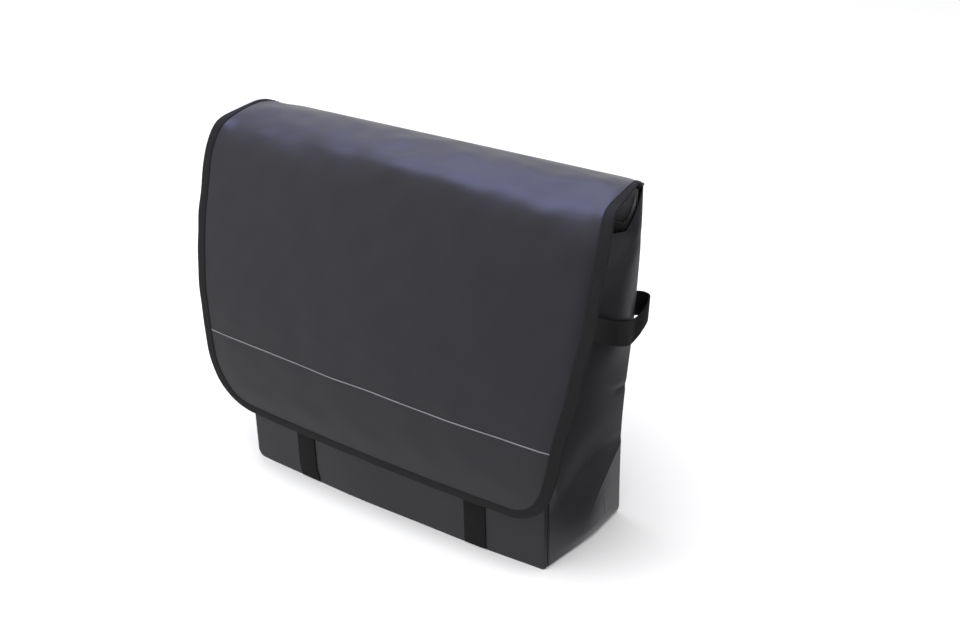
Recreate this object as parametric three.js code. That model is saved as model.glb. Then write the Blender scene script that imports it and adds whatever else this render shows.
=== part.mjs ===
// A soft bicycle pannier: a cloth body with folded sides, a bound flap over its top and front,
// webbing straps, and two hooks on its flat back. Millimetres, +Z up. The front faces -Y, the back +Y.
import * as THREE from 'three';

// Driving dimensions of the body
const baseWidth = 375;
const depth = 125;
const panelTop = 318;
const backTop = 342;
const mouthHeight = 300;
const gussetBackTop = 338;
const baseRadius = 8;
const cloth = 2;
const backBoard = 3;
const gap = 0.3;

// The flap and its trim
const flapCrown = 6;
const flapShift = 1.8;
const bindingWidth = 12;
const bindingWall = 1;
const pipingRadius = 1.1;
const pipingHeight = 145.9;
const pipingTilt = 3.4;
const trimEndGap = 2.5;
const hemHeight = 6;
const hemWall = 1.5;
const hemEdge = 0.4;

// Webbing and its buckle
const webbing = 25;
const webbingWall = 1.6;
const webbingGap = 0.5;
const frontStrapX = 109;
const frontStrapFoot = 1;
const frontStrapTop = 150;
const buckleHeight = 31;
const buckleWall = 3;
const buckleBar = 3.5;
const buckleMiddle = 4;
const buckleSlot = 6.5;
const buckleRound = 4;
const buckleOut = 3;
const buckleY = 27;
const buckleZ = 240;

// Hooks on the back
const hookX = 108;
const hookWidth = 20;
const hookWall = 2.5;
const hookRadius = 6.25;
const hookCentre = 332;
const hookPlateEnd = 304;
const hookLip = 11;
const rivetRadius = 4.2;
const rivetHeight = 2.2;
const rivetZ = 312;

// Body sections: half width, depth of the front corner seam and crown of the front panel, by height
const bodySections = [
  { z: 0, halfWidth: baseWidth / 2, corner: 62.5, crown: 6 },
  { z: 50, halfWidth: 188, corner: 62.5, crown: 6.5 },
  { z: 100, halfWidth: 189.5, corner: 62, crown: 11 },
  { z: 150, halfWidth: 194, corner: 60, crown: 18 },
  { z: 200, halfWidth: 199.5, corner: 55, crown: 20 },
  { z: 250, halfWidth: 204, corner: 47, crown: 19 },
  { z: 290, halfWidth: 206.5, corner: 36, crown: 17 },
  { z: backTop, halfWidth: 208, corner: 18, crown: 12 },
];

// Side fold, by height: depth of its valley and the ridge that stands out below it, with the place of each
// as a share of the way from the front seam to the back one
const foldSections = [
  { z: 0, valley: 0, place: 0.36, ridge: 0, crest: 0.5 },
  { z: 20, valley: 0, place: 0.34, ridge: 3.6, crest: 0.5 },
  { z: 40, valley: 0, place: 0.28, ridge: 4.6, crest: 0.58 },
  { z: 60, valley: 0.4, place: 0.18, ridge: 3, crest: 0.74 },
  { z: 90, valley: 4.2, place: 0.13, ridge: 0, crest: 0.82 },
  { z: 120, valley: 11, place: 0.14, ridge: 0, crest: 0.7 },
  { z: 160, valley: 17, place: 0.16, ridge: 0, crest: 0.6 },
  { z: 200, valley: 20.5, place: 0.18, ridge: 0, crest: 0.6 },
  { z: 250, valley: 27, place: 0.27, ridge: 0, crest: 0.65 },
  { z: mouthHeight, valley: 34, place: 0.43, ridge: 0, crest: 0.72 },
  { z: backTop, valley: 36, place: 0.47, ridge: 0, crest: 0.74 },
];

// Shares of the gusset's depth where its upper edge has come down from the front and starts up to the back
const frontFallEnd = 0.3;
const backRiseStart = 0.84;

// Flap sections at its side edge, from the hem on the back over the top to the lower front edge
const flapSections = [
  { y: 64.8, z: 338, halfWidth: 203 },
  { y: 64.8, z: 343, halfWidth: 206 },
  { y: 60, z: 349.5, halfWidth: 210 },
  { y: 46, z: 355, halfWidth: 218 },
  { y: 28, z: 360.5, halfWidth: 227.5 },
  { y: 8, z: 362, halfWidth: 233 },
  { y: -14, z: 357, halfWidth: 236.5 },
  { y: -31, z: 349, halfWidth: 238.5 },
  { y: -43, z: 331, halfWidth: 239.5 },
  { y: -54, z: 300, halfWidth: 239.5 },
  { y: -65, z: 260, halfWidth: 238.3 },
  { y: -75, z: 220, halfWidth: 234.6 },
  { y: -83, z: 180, halfWidth: 228.5 },
  { y: -88, z: 140, halfWidth: 221 },
  { y: -89, z: 100, halfWidth: 213 },
  { y: -87, z: 73, halfWidth: 208 },
  { y: -86, z: 60, halfWidth: 205.6 },
];

// Lower ends of the flap: how low each end of its front edge hangs, and the radius of its corner
const flapEnds = {
  left: { sign: -1, low: 70.8, radius: 48 },
  right: { sign: 1, low: 65.5, radius: 38 },
};

// Shares of the flap's length between which it swells from flat, near the back edge, to its full crown
const crownStart = 0.02;
const crownFull = 0.4;

// Share of the flap's length from which it lies a little further to the left
const shiftStart = 0.5;

const finishes = {
  coated: { color: 0x3a393d, roughness: 0.42, metalness: 0 },
  tape: { color: 0x232325, roughness: 0.85, metalness: 0 },
  reflective: { color: 0xa8a9ad, roughness: 0.4, metalness: 0.2 },
  strap: { color: 0x1d1d1f, roughness: 0.8, metalness: 0 },
  plastic: { color: 0x101012, roughness: 0.3, metalness: 0 },
  steel: { color: 0x8c8d92, roughness: 0.3, metalness: 1 },
};

const sides = [
  { side: 'left', sign: -1 },
  { side: 'right', sign: 1 },
];

const bag = new THREE.Group();

function addPiece(name, geometry, finish) {
  const piece = new THREE.Mesh(geometry, new THREE.MeshStandardMaterial(finishes[finish]));
  piece.name = name;
  bag.add(piece);
}

// Smooth value of one column of a table at a height
function column(table, key, z) {
  const last = table.length - 1;
  let i = 0;
  while (i < last - 1 && z > table[i + 1].z) i += 1;
  const before = table[Math.max(i - 1, 0)];
  const from = table[i];
  const to = table[i + 1];
  const after = table[Math.min(i + 2, last)];
  const span = to.z - from.z;
  const t = THREE.MathUtils.clamp((z - from.z) / span, 0, 1);
  const slopeFrom = ((to[key] - before[key]) / (to.z - before.z)) * span;
  const slopeTo = ((after[key] - from[key]) / (after.z - from.z)) * span;
  const t2 = t * t;
  const t3 = t2 * t;
  return from[key] * (2 * t3 - 3 * t2 + 1) + slopeFrom * (t3 - 2 * t2 + t)
    + to[key] * (3 * t2 - 2 * t3) + slopeTo * (t3 - t2);
}

// A body whose triangles all point out
function solid(positions, index) {
  let volume = 0;
  const a = new THREE.Vector3();
  const b = new THREE.Vector3();
  const c = new THREE.Vector3();
  for (let i = 0; i < index.length; i += 3) {
    a.fromArray(positions, index[i] * 3);
    b.fromArray(positions, index[i + 1] * 3);
    c.fromArray(positions, index[i + 2] * 3);
    volume += a.dot(b.cross(c));
  }
  if (volume < 0) index.reverse();
  const geometry = new THREE.BufferGeometry();
  geometry.setAttribute('position', new THREE.Float32BufferAttribute(positions, 3));
  geometry.setIndex(index);
  return geometry;
}

// Thin wall between an outer and an inner grid of points, closed along its four edges. Each face gives the
// point at a share across, a share up and a row's number
function wall(columns, rows, outer, inner) {
  const across = columns + 1;
  const count = across * (rows + 1);
  const positions = [];
  for (const face of [outer, inner]) {
    for (let r = 0; r <= rows; r += 1) {
      for (let c = 0; c <= columns; c += 1) positions.push(...face(c / columns, r / rows, r));
    }
  }
  const index = [];
  const quad = (i, j, k, l) => index.push(i, j, k, i, k, l);
  for (let r = 0; r < rows; r += 1) {
    for (let c = 0; c < columns; c += 1) {
      const i = r * across + c;
      quad(i, i + 1, i + across + 1, i + across);
      quad(count + i, count + i + across, count + i + across + 1, count + i + 1);
    }
  }
  for (let c = 0; c < columns; c += 1) {
    const top = rows * across + c;
    quad(c + 1, c, count + c, count + c + 1);
    quad(top, top + 1, count + top + 1, count + top);
  }
  for (let r = 0; r < rows; r += 1) {
    const left = r * across;
    const right = left + columns;
    quad(left, left + across, count + left + across, count + left);
    quad(right + across, right, count + right, count + right + across);
  }
  return solid(positions, index);
}

// Section, listed anticlockwise, carried along stations that each have a centre and two axes, with flat ends
function sweep(section, stations) {
  const corners = section.length;
  const positions = [];
  for (const { centre, along, across } of stations) {
    for (const [p, q] of section) {
      positions.push(...centre.clone().addScaledVector(along, p).addScaledVector(across, q));
    }
  }
  const index = [];
  for (let s = 0; s < stations.length - 1; s += 1) {
    const here = s * corners;
    const there = here + corners;
    for (let i = 0; i < corners; i += 1) {
      const next = (i + 1) % corners;
      index.push(here + i, here + next, there + next, here + i, there + next, there + i);
    }
  }
  const end = (stations.length - 1) * corners;
  const points = section.map(([p, q]) => new THREE.Vector2(p, q));
  for (const [i, j, k] of THREE.ShapeUtils.triangulateShape(points, [])) {
    index.push(k, j, i, end + i, end + j, end + k);
  }
  return solid(positions, index);
}

// Webbing on edge along a smooth route: its width stands along Z, its thickness lies across the route
function standingWebbing(route, steps) {
  const path = new THREE.CatmullRomCurve3(route.map(({ x, y, z }) => new THREE.Vector3(x, y, z)));
  const up = new THREE.Vector3(0, 0, 1);
  const stations = [];
  for (let s = 0; s <= steps; s += 1) {
    const tangent = path.getTangentAt(s / steps);
    const across = new THREE.Vector3().crossVectors(tangent, up).normalize();
    stations.push({ centre: path.getPointAt(s / steps), along: up, across });
  }
  const w = webbing / 2;
  const t = webbingWall / 2;
  return sweep([[-w, -t], [w, -t], [w, t], [-w, t]], stations);
}

// Points of a flat arc between two angles in degrees
function arcPoints(x, y, radius, from, to, steps = 4) {
  const points = [];
  for (let i = 0; i <= steps; i += 1) {
    const turn = THREE.MathUtils.degToRad(from + (to - from) * (i / steps));
    points.push(new THREE.Vector2(x + radius * Math.cos(turn), y + radius * Math.sin(turn)));
  }
  return points;
}

// A shape drawn in the YZ plane, given a thickness along X from a starting place
function plateAlongX(shape, thickness, start) {
  const plate = new THREE.ExtrudeGeometry(shape, { depth: thickness, bevelEnabled: false });
  const axes = [new THREE.Vector3(0, 1, 0), new THREE.Vector3(0, 0, 1), new THREE.Vector3(1, 0, 0)];
  return plate.applyMatrix4(new THREE.Matrix4().makeBasis(...axes).setPosition(start));
}

// Rounded lower corner: how far the outline steps in at a height
function cornerInset(z) {
  if (z >= baseRadius) return 0;
  return baseRadius - Math.sqrt(baseRadius ** 2 - (baseRadius - z) ** 2);
}

// Height round the lower corner at a share of its quarter turn
const footHeight = (share) => baseRadius * (1 - Math.cos((Math.PI / 2) * share));
const footRows = 4;

// Rows of heights: by angle round the lower corner, then even up to the top
function heightRows(top, evenRows) {
  const rows = [];
  for (let i = 0; i < footRows; i += 1) rows.push(footHeight(i / footRows));
  for (let i = 0; i <= evenRows; i += 1) rows.push(THREE.MathUtils.lerp(baseRadius, top, i / evenRows));
  return rows;
}

const halfWidth = (z) => column(bodySections, 'halfWidth', z);
const frontCorner = (z) => -column(bodySections, 'corner', z);
const backOuter = depth / 2;
const backInner = backOuter - backBoard;

// Front panel's outer face: crowned between its two corner seams
function frontFace(x, z) {
  const bow = 1 - (x / halfWidth(z)) ** 2;
  return frontCorner(z) - column(bodySections, 'crown', z) * bow;
}

function frontPanel() {
  const columns = 16;
  const rows = heightRows(panelTop, 13);
  const face = (lift) => (u, v, r) => {
    const z = rows[r];
    const x = (2 * u - 1) * (halfWidth(z) - cornerInset(z));
    return [x, frontFace(x, z) + lift, z];
  };
  return wall(columns, rows.length - 1, face(0), face(cloth));
}

function backPanel() {
  const columns = 2;
  const rows = heightRows(backTop, 7);
  const face = (y) => (u, v, r) => {
    const z = rows[r];
    return [(2 * u - 1) * (halfWidth(z) - cornerInset(z)), y, z];
  };
  return wall(columns, rows.length - 1, face(backOuter), face(backInner));
}

// The base lies between the two panels and the rounded feet of the gussets
function basePanel() {
  const columns = 14;
  const rows = 2;
  const reach = halfWidth(0) - baseRadius - gap;
  const face = (z) => (u, v) => {
    const x = (2 * u - 1) * reach;
    const front = frontFace(x, 0) + cloth + gap;
    return [x, THREE.MathUtils.lerp(front, backInner - gap, v), z];
  };
  return wall(columns, rows, face(0), face(cloth));
}

// How far the gusset stands out from the straight line between its seams, less where its valley sinks in
function foldOut(share, z) {
  const tent = (peak) => (share < peak ? share / peak : (1 - share) / (1 - peak));
  const raised = column(foldSections, 'ridge', z) * tent(column(foldSections, 'crest', z));
  return raised - column(foldSections, 'valley', z) * tent(column(foldSections, 'place', z));
}

// The gusset's upper edge is level at the mouth and rises to the two seams
function gussetTop(share) {
  const back = THREE.MathUtils.smoothstep(share, backRiseStart, 1);
  const front = 1 - THREE.MathUtils.smoothstep(share, 0, frontFallEnd);
  return mouthHeight + back * (gussetBackTop - mouthHeight) + front * (panelTop - mouthHeight);
}

// Gusset: a share of 0 lies at the front seam and 1 at the back seam. Its columns of points follow the valley
// and the ridge, and its foot curves in to the base
function gusset(sign) {
  const spans = { front: 4, middle: 5, back: 5 };
  const columns = spans.front + spans.middle + spans.back;
  const climbRows = 17;
  const shareAt = (c, z) => {
    const place = column(foldSections, 'place', z);
    const crest = column(foldSections, 'crest', z);
    const step = c * columns;
    if (step <= spans.front) return place * (step / spans.front);
    const past = step - spans.front;
    if (past <= spans.middle) return THREE.MathUtils.lerp(place, crest, past / spans.middle);
    return THREE.MathUtils.lerp(crest, 1, (past - spans.middle) / spans.back);
  };
  const face = (inwards) => (c, v, r) => {
    const foot = Math.min(r / footRows, 1);
    const climb = Math.max(r - footRows, 0) / climbRows;
    const turn = (Math.PI / 2) * foot;
    const share = shareAt(c, THREE.MathUtils.lerp(0, mouthHeight, climb));
    const z = climb > 0 ? THREE.MathUtils.lerp(baseRadius, gussetTop(share), climb) : footHeight(foot);
    const x = halfWidth(z) + foldOut(share, z) - cornerInset(z);
    const y = THREE.MathUtils.lerp(frontCorner(z) + cloth + gap, backInner - gap, share);
    return [sign * (x - inwards * Math.sin(turn)), y, z + inwards * Math.cos(turn)];
  };
  return wall(columns, footRows + climbRows, face(0), face(cloth));
}

addPiece('front_panel', frontPanel(), 'coated');
addPiece('back_panel', backPanel(), 'coated');
addPiece('base_panel', basePanel(), 'coated');
for (const { side, sign } of sides) addPiece(`gusset_${side}`, gusset(sign), 'coated');

// Flap: its edge profile, with the half width carried along as the first coordinate
const flapEdge = new THREE.CatmullRomCurve3(
  flapSections.map(({ y, z, halfWidth: reach }) => new THREE.Vector3(reach, y, z)),
  false,
  'centripetal',
);
flapEdge.arcLengthDivisions = 800;
const flapLength = flapEdge.getLength();

// Share of the flap's length at a height on its front, by halving
function flapAtHeight(z) {
  const halvings = 40;
  let low = crownFull;
  let high = 1;
  for (let i = 0; i < halvings; i += 1) {
    const middle = (low + high) / 2;
    if (flapEdge.getPointAt(middle).z > z) low = middle;
    else high = middle;
  }
  return (low + high) / 2;
}

// Rows of the flap: close together over the back edge, even down its front, then by angle round the corners.
// Each row has a share of the way down to the corners, and an angle round them
const flapBendShare = 0.06;
const flapBendRows = 6;
const flapEvenRows = 26;
const flapCornerRows = 7;
const flapRows = [];
for (let i = 0; i < flapBendRows; i += 1) {
  flapRows.push({ share: flapBendShare * (i / flapBendRows), turn: 0 });
}
for (let i = 0; i <= flapEvenRows; i += 1) {
  flapRows.push({ share: THREE.MathUtils.lerp(flapBendShare, 1, i / flapEvenRows), turn: 0 });
}
for (let i = 1; i <= flapCornerRows; i += 1) {
  flapRows.push({ share: 1, turn: (Math.PI / 2) * (i / flapCornerRows) });
}

// How far the flap lies to the left, at a share u of its length
const flapAside = (u) => flapShift * THREE.MathUtils.smoothstep(u, shiftStart, 1);

// One end of a row: its share u of the flap's length and its distance x from the middle
function flapSide({ sign, low, radius }, { share, turn }) {
  const straight = flapAtHeight(low) * flapLength - radius;
  const u = (share * straight + radius * Math.sin(turn)) / flapLength;
  const reach = flapEdge.getPointAt(u).x - radius * (1 - Math.cos(turn));
  return { u, x: sign * reach - flapAside(u) };
}

// Spot on a row at a share c of the way from its left end to its right end
function flapSpot(c, row) {
  const left = flapSide(flapEnds.left, row);
  const right = flapSide(flapEnds.right, row);
  return { u: THREE.MathUtils.lerp(left.u, right.u, c), x: THREE.MathUtils.lerp(left.x, right.x, c) };
}

// Point of the flap at a share u of its length, a distance x from the middle, lifted off the outer face
function flapPoint(u, x, lift) {
  const edge = flapEdge.getPointAt(u);
  const tangent = flapEdge.getTangentAt(u);
  const normal = new THREE.Vector3(0, tangent.z, -tangent.y).normalize();
  const swell = THREE.MathUtils.smoothstep(u, crownStart, crownFull) * (1 - (x / edge.x) ** 2);
  return new THREE.Vector3(x, edge.y, edge.z).addScaledVector(normal, flapCrown * swell + lift);
}

function flap() {
  const columns = 18;
  const face = (lift) => (c, v, r) => {
    const { u, x } = flapSpot(c, flapRows[r]);
    return flapPoint(u, x, lift);
  };
  return wall(columns, flapRows.length - 1, face(0), face(-cloth));
}

// Binding: tape folded over the flap's edge, down one side, along the front and up the other side
function flapBinding() {
  const boundRows = flapRows.slice(flapBendRows - 1);
  const lastRow = flapRows[flapRows.length - 1];
  const bottomSteps = 18;
  const spots = boundRows.map((row) => flapSpot(0, row));
  for (let i = 1; i < bottomSteps; i += 1) spots.push(flapSpot(i / bottomSteps, lastRow));
  for (const row of boundRows.reverse()) spots.push(flapSpot(1, row));
  const centres = spots.map(({ u, x }) => flapPoint(u, x, -cloth / 2));
  const probe = 0.002;
  const stations = centres.map((centre, i) => {
    const { u, x } = spots[i];
    const ahead = centres[Math.min(i + 1, centres.length - 1)];
    const behind = centres[Math.max(i - 1, 0)];
    const tangent = new THREE.Vector3().subVectors(ahead, behind).normalize();
    const sideways = new THREE.Vector3().subVectors(flapPoint(u, x + 1, 0), flapPoint(u, x - 1, 0));
    const lower = Math.min(u + probe, 1);
    const upper = lower - 2 * probe;
    const downwards = new THREE.Vector3().subVectors(flapPoint(lower, x, 0), flapPoint(upper, x, 0));
    const across = new THREE.Vector3().crossVectors(downwards, sideways).normalize();
    const along = new THREE.Vector3().crossVectors(tangent, across).normalize();
    return { centre, along, across };
  });
  const slit = cloth / 2 + 2 * gap;
  const outside = slit + bindingWall;
  const edge = gap + bindingWall;
  const section = [
    [-bindingWidth, slit], [gap, slit], [gap, -slit], [-bindingWidth, -slit],
    [-bindingWidth, -outside], [edge, -outside], [edge, outside], [-bindingWidth, outside],
  ];
  return sweep(section, stations);
}

// Piping: a thin cord that lies across the flap from tape to tape, a little higher at its left end
function flapPiping() {
  const reach = flapEdge.getPointAt(flapAtHeight(pipingHeight)).x - bindingWidth - trimEndGap;
  const spans = 8;
  const points = [];
  for (let i = 0; i <= spans; i += 1) {
    const across = 2 * (i / spans) - 1;
    const u = flapAtHeight(pipingHeight - pipingTilt * across);
    points.push(flapPoint(u, reach * across - flapAside(u), pipingRadius + gap));
  }
  const section = new THREE.Shape().absarc(0, 0, pipingRadius, 0, Math.PI * 2);
  const extrudePath = new THREE.CatmullRomCurve3(points);
  const settings = { steps: 18, curveSegments: 8, extrudePath, bevelEnabled: false };
  return new THREE.ExtrudeGeometry(section, settings);
}

// Hem: the flap's back edge, folded and sewn down, with its outer face rounded
function backHem() {
  const columns = 12;
  const rows = 4;
  const reach = flapSections[0].halfWidth - bindingWidth - trimEndGap;
  const inner = flapSections[0].y + gap;
  const middle = hookCentre + hookRadius + hookWall + hemHeight / 2;
  const place = (u, v, y) => [(2 * u - 1) * reach, y, middle + (v - 0.5) * hemHeight];
  const outerFace = (u, v) => place(u, v, inner + hemEdge + hemWall * Math.sin(Math.PI * v));
  const innerFace = (u, v) => place(u, v, inner);
  return wall(columns, rows, outerFace, innerFace);
}

addPiece('flap', flap(), 'coated');
addPiece('flap_binding', flapBinding(), 'tape');
addPiece('flap_piping', flapPiping(), 'reflective');
addPiece('back_hem', backHem(), 'coated');

// Front strap: webbing that lies on the front panel, from its foot to under the flap
function frontStrap(middle) {
  const columns = 2;
  const rows = 13;
  const face = (off) => (u, v) => {
    const x = middle + (u - 0.5) * webbing;
    const z = THREE.MathUtils.lerp(frontStrapFoot, frontStrapTop, v);
    return [x, frontFace(x, z) - off, z];
  };
  return wall(columns, rows, face(webbingGap + webbingWall), face(webbingGap));
}

for (const { side, sign } of sides) {
  addPiece(`front_strap_${side}`, frontStrap(sign * frontStrapX), 'strap');
}

// Side straps lie along the middle of the webbing, off the widest place that its height covers
const layOff = 2 * gap + webbingWall / 2;
const seamX = (z) => halfWidth(z + webbing / 2) + layOff;
const behind = backOuter + layOff;

// Right side strap: from the front seam, sagging across the side, round a slack loop and flat onto the back
function sideStrapRight() {
  const seamRoute = [
    { out: 1, y: frontCorner(240) + 3, z: 240 },
    { out: 1, y: -28, z: 238 },
    { out: -1, y: -9, z: 231 },
    { out: -6, y: 16, z: 218 },
    { out: -4, y: 43, z: 210 },
    { out: 1.5, y: backOuter - 4, z: 210 },
    { out: 4, y: backOuter + 10, z: 212 },
    { out: -1, y: backOuter + 22, z: 213 },
    { out: -12, y: backOuter + 23, z: 216 },
    { out: -18, y: backOuter + 13, z: 218 },
    { out: -21, y: behind + 3, z: 218 },
    { out: -29, y: behind, z: 218 },
    { out: -45, y: behind, z: 218 },
  ];
  return standingWebbing(seamRoute.map(({ out, y, z }) => ({ x: seamX(z) + out, y, z })), 44);
}

addPiece('side_strap_right', sideStrapRight(), 'strap');

// Left side: the buckle stands off the fold, its length along Y and its thickness along X
const buckleX = -(halfWidth(buckleZ) + buckleOut);
const buckleLength = 2 * buckleBar + 2 * buckleSlot + buckleMiddle;

function sideBuckle() {
  const slotHalf = webbing / 2 + 0.8;
  const slotTaper = 0.4;
  const endY = buckleLength / 2 - buckleRound;
  const endZ = buckleHeight / 2 - buckleRound;
  const outline = [
    ...arcPoints(endY, endZ, buckleRound, 0, 90),
    ...arcPoints(-endY, endZ, buckleRound, 90, 180),
    ...arcPoints(-endY, -endZ, buckleRound, 180, 270),
    ...arcPoints(endY, -endZ, buckleRound, 270, 360),
  ];
  const frame = new THREE.Shape(outline);
  for (const { sign } of sides) {
    const near = (sign * buckleMiddle) / 2;
    const far = near + sign * buckleSlot;
    const farHalf = slotHalf - slotTaper;
    const corners = [[near, -slotHalf], [near, slotHalf], [far, farHalf], [far, -farHalf]];
    frame.holes.push(new THREE.Path(corners.map((corner) => new THREE.Vector2(...corner))));
  }
  return plateAlongX(frame, buckleWall, new THREE.Vector3(buckleX - buckleWall / 2, buckleY, buckleZ));
}

// Middle of webbing that lies on either face of the buckle
const buckleLay = buckleWall / 2 + webbingWall / 2 + webbingGap;
const outerSide = buckleX - buckleLay;
const innerSide = buckleX + buckleLay;
const levelRoute = (points) => points.map(({ x, y }) => ({ x, y, z: buckleZ }));

// Anchor: from the back, round the seam to the buckle, round its rear bar and back on itself
function sideAnchor() {
  const seam = -seamX(buckleZ);
  const bar = buckleY + buckleLength / 2 - buckleBar / 2;
  const slot = bar - buckleBar / 2 - webbingWall / 2 - webbingGap;
  return standingWebbing(levelRoute([
    { x: seam + 30, y: behind },
    { x: seam + 8, y: behind },
    { x: seam - 0.3, y: behind + 0.3 },
    { x: seam - 0.8, y: backOuter - 6 },
    { x: outerSide, y: bar + 6 },
    { x: outerSide, y: bar + 1 },
    { x: outerSide + 0.5, y: slot + 0.8 },
    { x: buckleX, y: slot - 0.2 },
    { x: innerSide - 0.5, y: slot + 0.8 },
    { x: innerSide, y: bar + 1 },
    { x: innerSide, y: bar + 8 },
  ]), 44);
}

// Strap: from under the flap along the side, inside the buckle, round its middle bar and out as a free tail
function sideStrapLeft() {
  const seam = -seamX(buckleZ);
  const around = buckleY + buckleMiddle / 2 + webbingWall / 2 + 2 * gap;
  return standingWebbing(levelRoute([
    { x: seam - 1, y: frontCorner(buckleZ) + 3 },
    { x: seam - 0.5, y: -24 },
    { x: innerSide - 2, y: -6 },
    { x: innerSide, y: buckleY - 14 },
    { x: innerSide, y: buckleY - 4 },
    { x: innerSide, y: buckleY + 1 },
    { x: innerSide - 0.6, y: around - 0.6 },
    { x: buckleX, y: around + 0.3 },
    { x: outerSide + 0.6, y: around - 0.6 },
    { x: outerSide, y: buckleY + 1 },
    { x: outerSide, y: buckleY - 4 },
    { x: outerSide, y: buckleY - 13 },
    { x: outerSide - 8, y: buckleY - 30 },
    { x: outerSide - 17, y: buckleY - 48 },
  ]), 60);
}

addPiece('side_buckle_left', sideBuckle(), 'plastic');
addPiece('side_anchor_left', sideAnchor(), 'strap');
addPiece('side_strap_left', sideStrapLeft(), 'strap');

// Rack hook: a strip that lies on the back, arches out over the rail and ends in a lip
function rackHook(middle) {
  const inner = backOuter + gap;
  const arch = inner + hookWall + hookRadius;
  const outerRadius = hookRadius + hookWall;
  const archSteps = 9;
  const outline = new THREE.Shape([
    new THREE.Vector2(inner, hookPlateEnd),
    ...arcPoints(arch, hookCentre, outerRadius, 180, 0, archSteps),
    new THREE.Vector2(arch + outerRadius, hookCentre - hookLip),
    new THREE.Vector2(arch + hookRadius, hookCentre - hookLip),
    ...arcPoints(arch, hookCentre, hookRadius, 0, 180, archSteps),
    new THREE.Vector2(inner + hookWall, hookPlateEnd),
  ]);
  return plateAlongX(outline, hookWidth, new THREE.Vector3(middle - hookWidth / 2, 0, 0));
}

// Rivet: a domed head on the hook's plate, above a low straight rim
function hookRivet(middle) {
  const rings = 4;
  const around = 14;
  const rim = rivetHeight / 4;
  const profile = [new THREE.Vector2(0, 0), new THREE.Vector2(rivetRadius, 0)];
  for (let i = 0; i < rings; i += 1) {
    const turn = (Math.PI / 2) * (i / rings);
    const rise = THREE.MathUtils.lerp(rim, rivetHeight, Math.sin(turn));
    profile.push(new THREE.Vector2(rivetRadius * Math.cos(turn), rise));
  }
  profile.push(new THREE.Vector2(0, rivetHeight));
  return new THREE.LatheGeometry(profile, around).translate(middle, backOuter + hookWall + 2 * gap, rivetZ);
}

for (const { side, sign } of sides) {
  addPiece(`rack_hook_${side}`, rackHook(sign * hookX), 'plastic');
  addPiece(`hook_rivet_${side}`, hookRivet(sign * hookX), 'steel');
}

// The middle of the whole object's footprint stands at the origin
const footprint = new THREE.Box3().setFromObject(bag).getCenter(new THREE.Vector3());
bag.position.set(-footprint.x, -footprint.y, 0);

const part = new THREE.Group();
part.add(bag);

export default part;
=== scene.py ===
import math

import bpy
import numpy as np
from mathutils import Matrix, Vector


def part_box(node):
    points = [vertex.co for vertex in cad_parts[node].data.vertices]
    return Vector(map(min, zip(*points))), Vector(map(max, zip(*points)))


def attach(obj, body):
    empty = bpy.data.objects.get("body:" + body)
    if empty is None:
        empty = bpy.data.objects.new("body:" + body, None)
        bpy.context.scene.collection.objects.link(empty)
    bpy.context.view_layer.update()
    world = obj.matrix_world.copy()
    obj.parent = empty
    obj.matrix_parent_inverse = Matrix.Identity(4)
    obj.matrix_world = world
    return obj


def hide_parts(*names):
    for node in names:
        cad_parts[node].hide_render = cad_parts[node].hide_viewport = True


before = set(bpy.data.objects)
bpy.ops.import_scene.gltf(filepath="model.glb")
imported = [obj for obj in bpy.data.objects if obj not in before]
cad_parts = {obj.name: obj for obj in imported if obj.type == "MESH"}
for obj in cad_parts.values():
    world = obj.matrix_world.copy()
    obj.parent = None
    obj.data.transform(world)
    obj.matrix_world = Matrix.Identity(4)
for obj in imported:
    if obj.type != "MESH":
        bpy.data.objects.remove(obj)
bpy.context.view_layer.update()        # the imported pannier: every piece below lies where its node lies
print("frame loaded:", len(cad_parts), "nodes")

# Shapes are worked out in the bag's own millimetres, x across, y from front to back, z up
mm = 0.001
bagDepth = 125
backOuter = bagDepth / 2
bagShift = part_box("back_panel")[1].y / mm - backOuter    # from the bag's own y to the frame's y
fineSteps = 1200    # points on a curve before they are spaced evenly


def smooth(low, high, x):
    # smooth step: 0 below low, 1 above high, 3t^2 - 2t^3 between
    t = np.clip((x - low) / (high - low), 0, 1)
    return t * t * (3 - 2 * t)


def bell(x, centre, width):
    # bell curve: exp of minus the squared distance in widths
    return np.exp(-(((x - centre) / width) ** 2))


def through(rows, at):
    # smooth curve through a table's rows: cubic between two rows, each slope from the row's two neighbours
    rows = np.asarray(rows, float)
    at = np.asarray(at, float)
    knots, values = rows[:, 0], rows[:, 1:]
    slopes = np.empty_like(values)
    slopes[1:-1] = (values[2:] - values[:-2]) / (knots[2:] - knots[:-2])[:, None]
    slopes[0] = (values[1] - values[0]) / (knots[1] - knots[0])
    slopes[-1] = (values[-1] - values[-2]) / (knots[-1] - knots[-2])
    i = np.clip(np.searchsorted(knots, at, side="right") - 1, 0, len(knots) - 2)
    span = (knots[i + 1] - knots[i])[..., None]
    t = np.clip((at - knots[i])[..., None] / span, 0, 1)
    rise = t * t * (3 - 2 * t)
    bend = slopes[i] * (t**3 - 2 * t**2 + t) + slopes[i + 1] * (t**3 - t**2)
    return values[i] * (1 - rise) + values[i + 1] * rise + bend * span


def lengthAlong(points):
    # distance along a line of points, from its start
    steps = np.linalg.norm(np.diff(points, axis=0), axis=1)
    return np.concatenate([[0], np.cumsum(steps)])


def fineCurve(points, count):
    # many points on the smooth curve through a few points
    run = lengthAlong(points)
    return through(np.column_stack([run, points]), np.linspace(0, run[-1], count))


def smoothPath(points, count):
    # evenly spaced points on the smooth curve through a few points
    dense = fineCurve(np.asarray(points, float), fineSteps)
    run = lengthAlong(dense)
    at = np.linspace(0, run[-1], count)
    return np.column_stack([np.interp(at, run, dense[:, k]) for k in range(3)])


def unit(v):
    return v / np.linalg.norm(v, axis=-1, keepdims=True)


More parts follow.
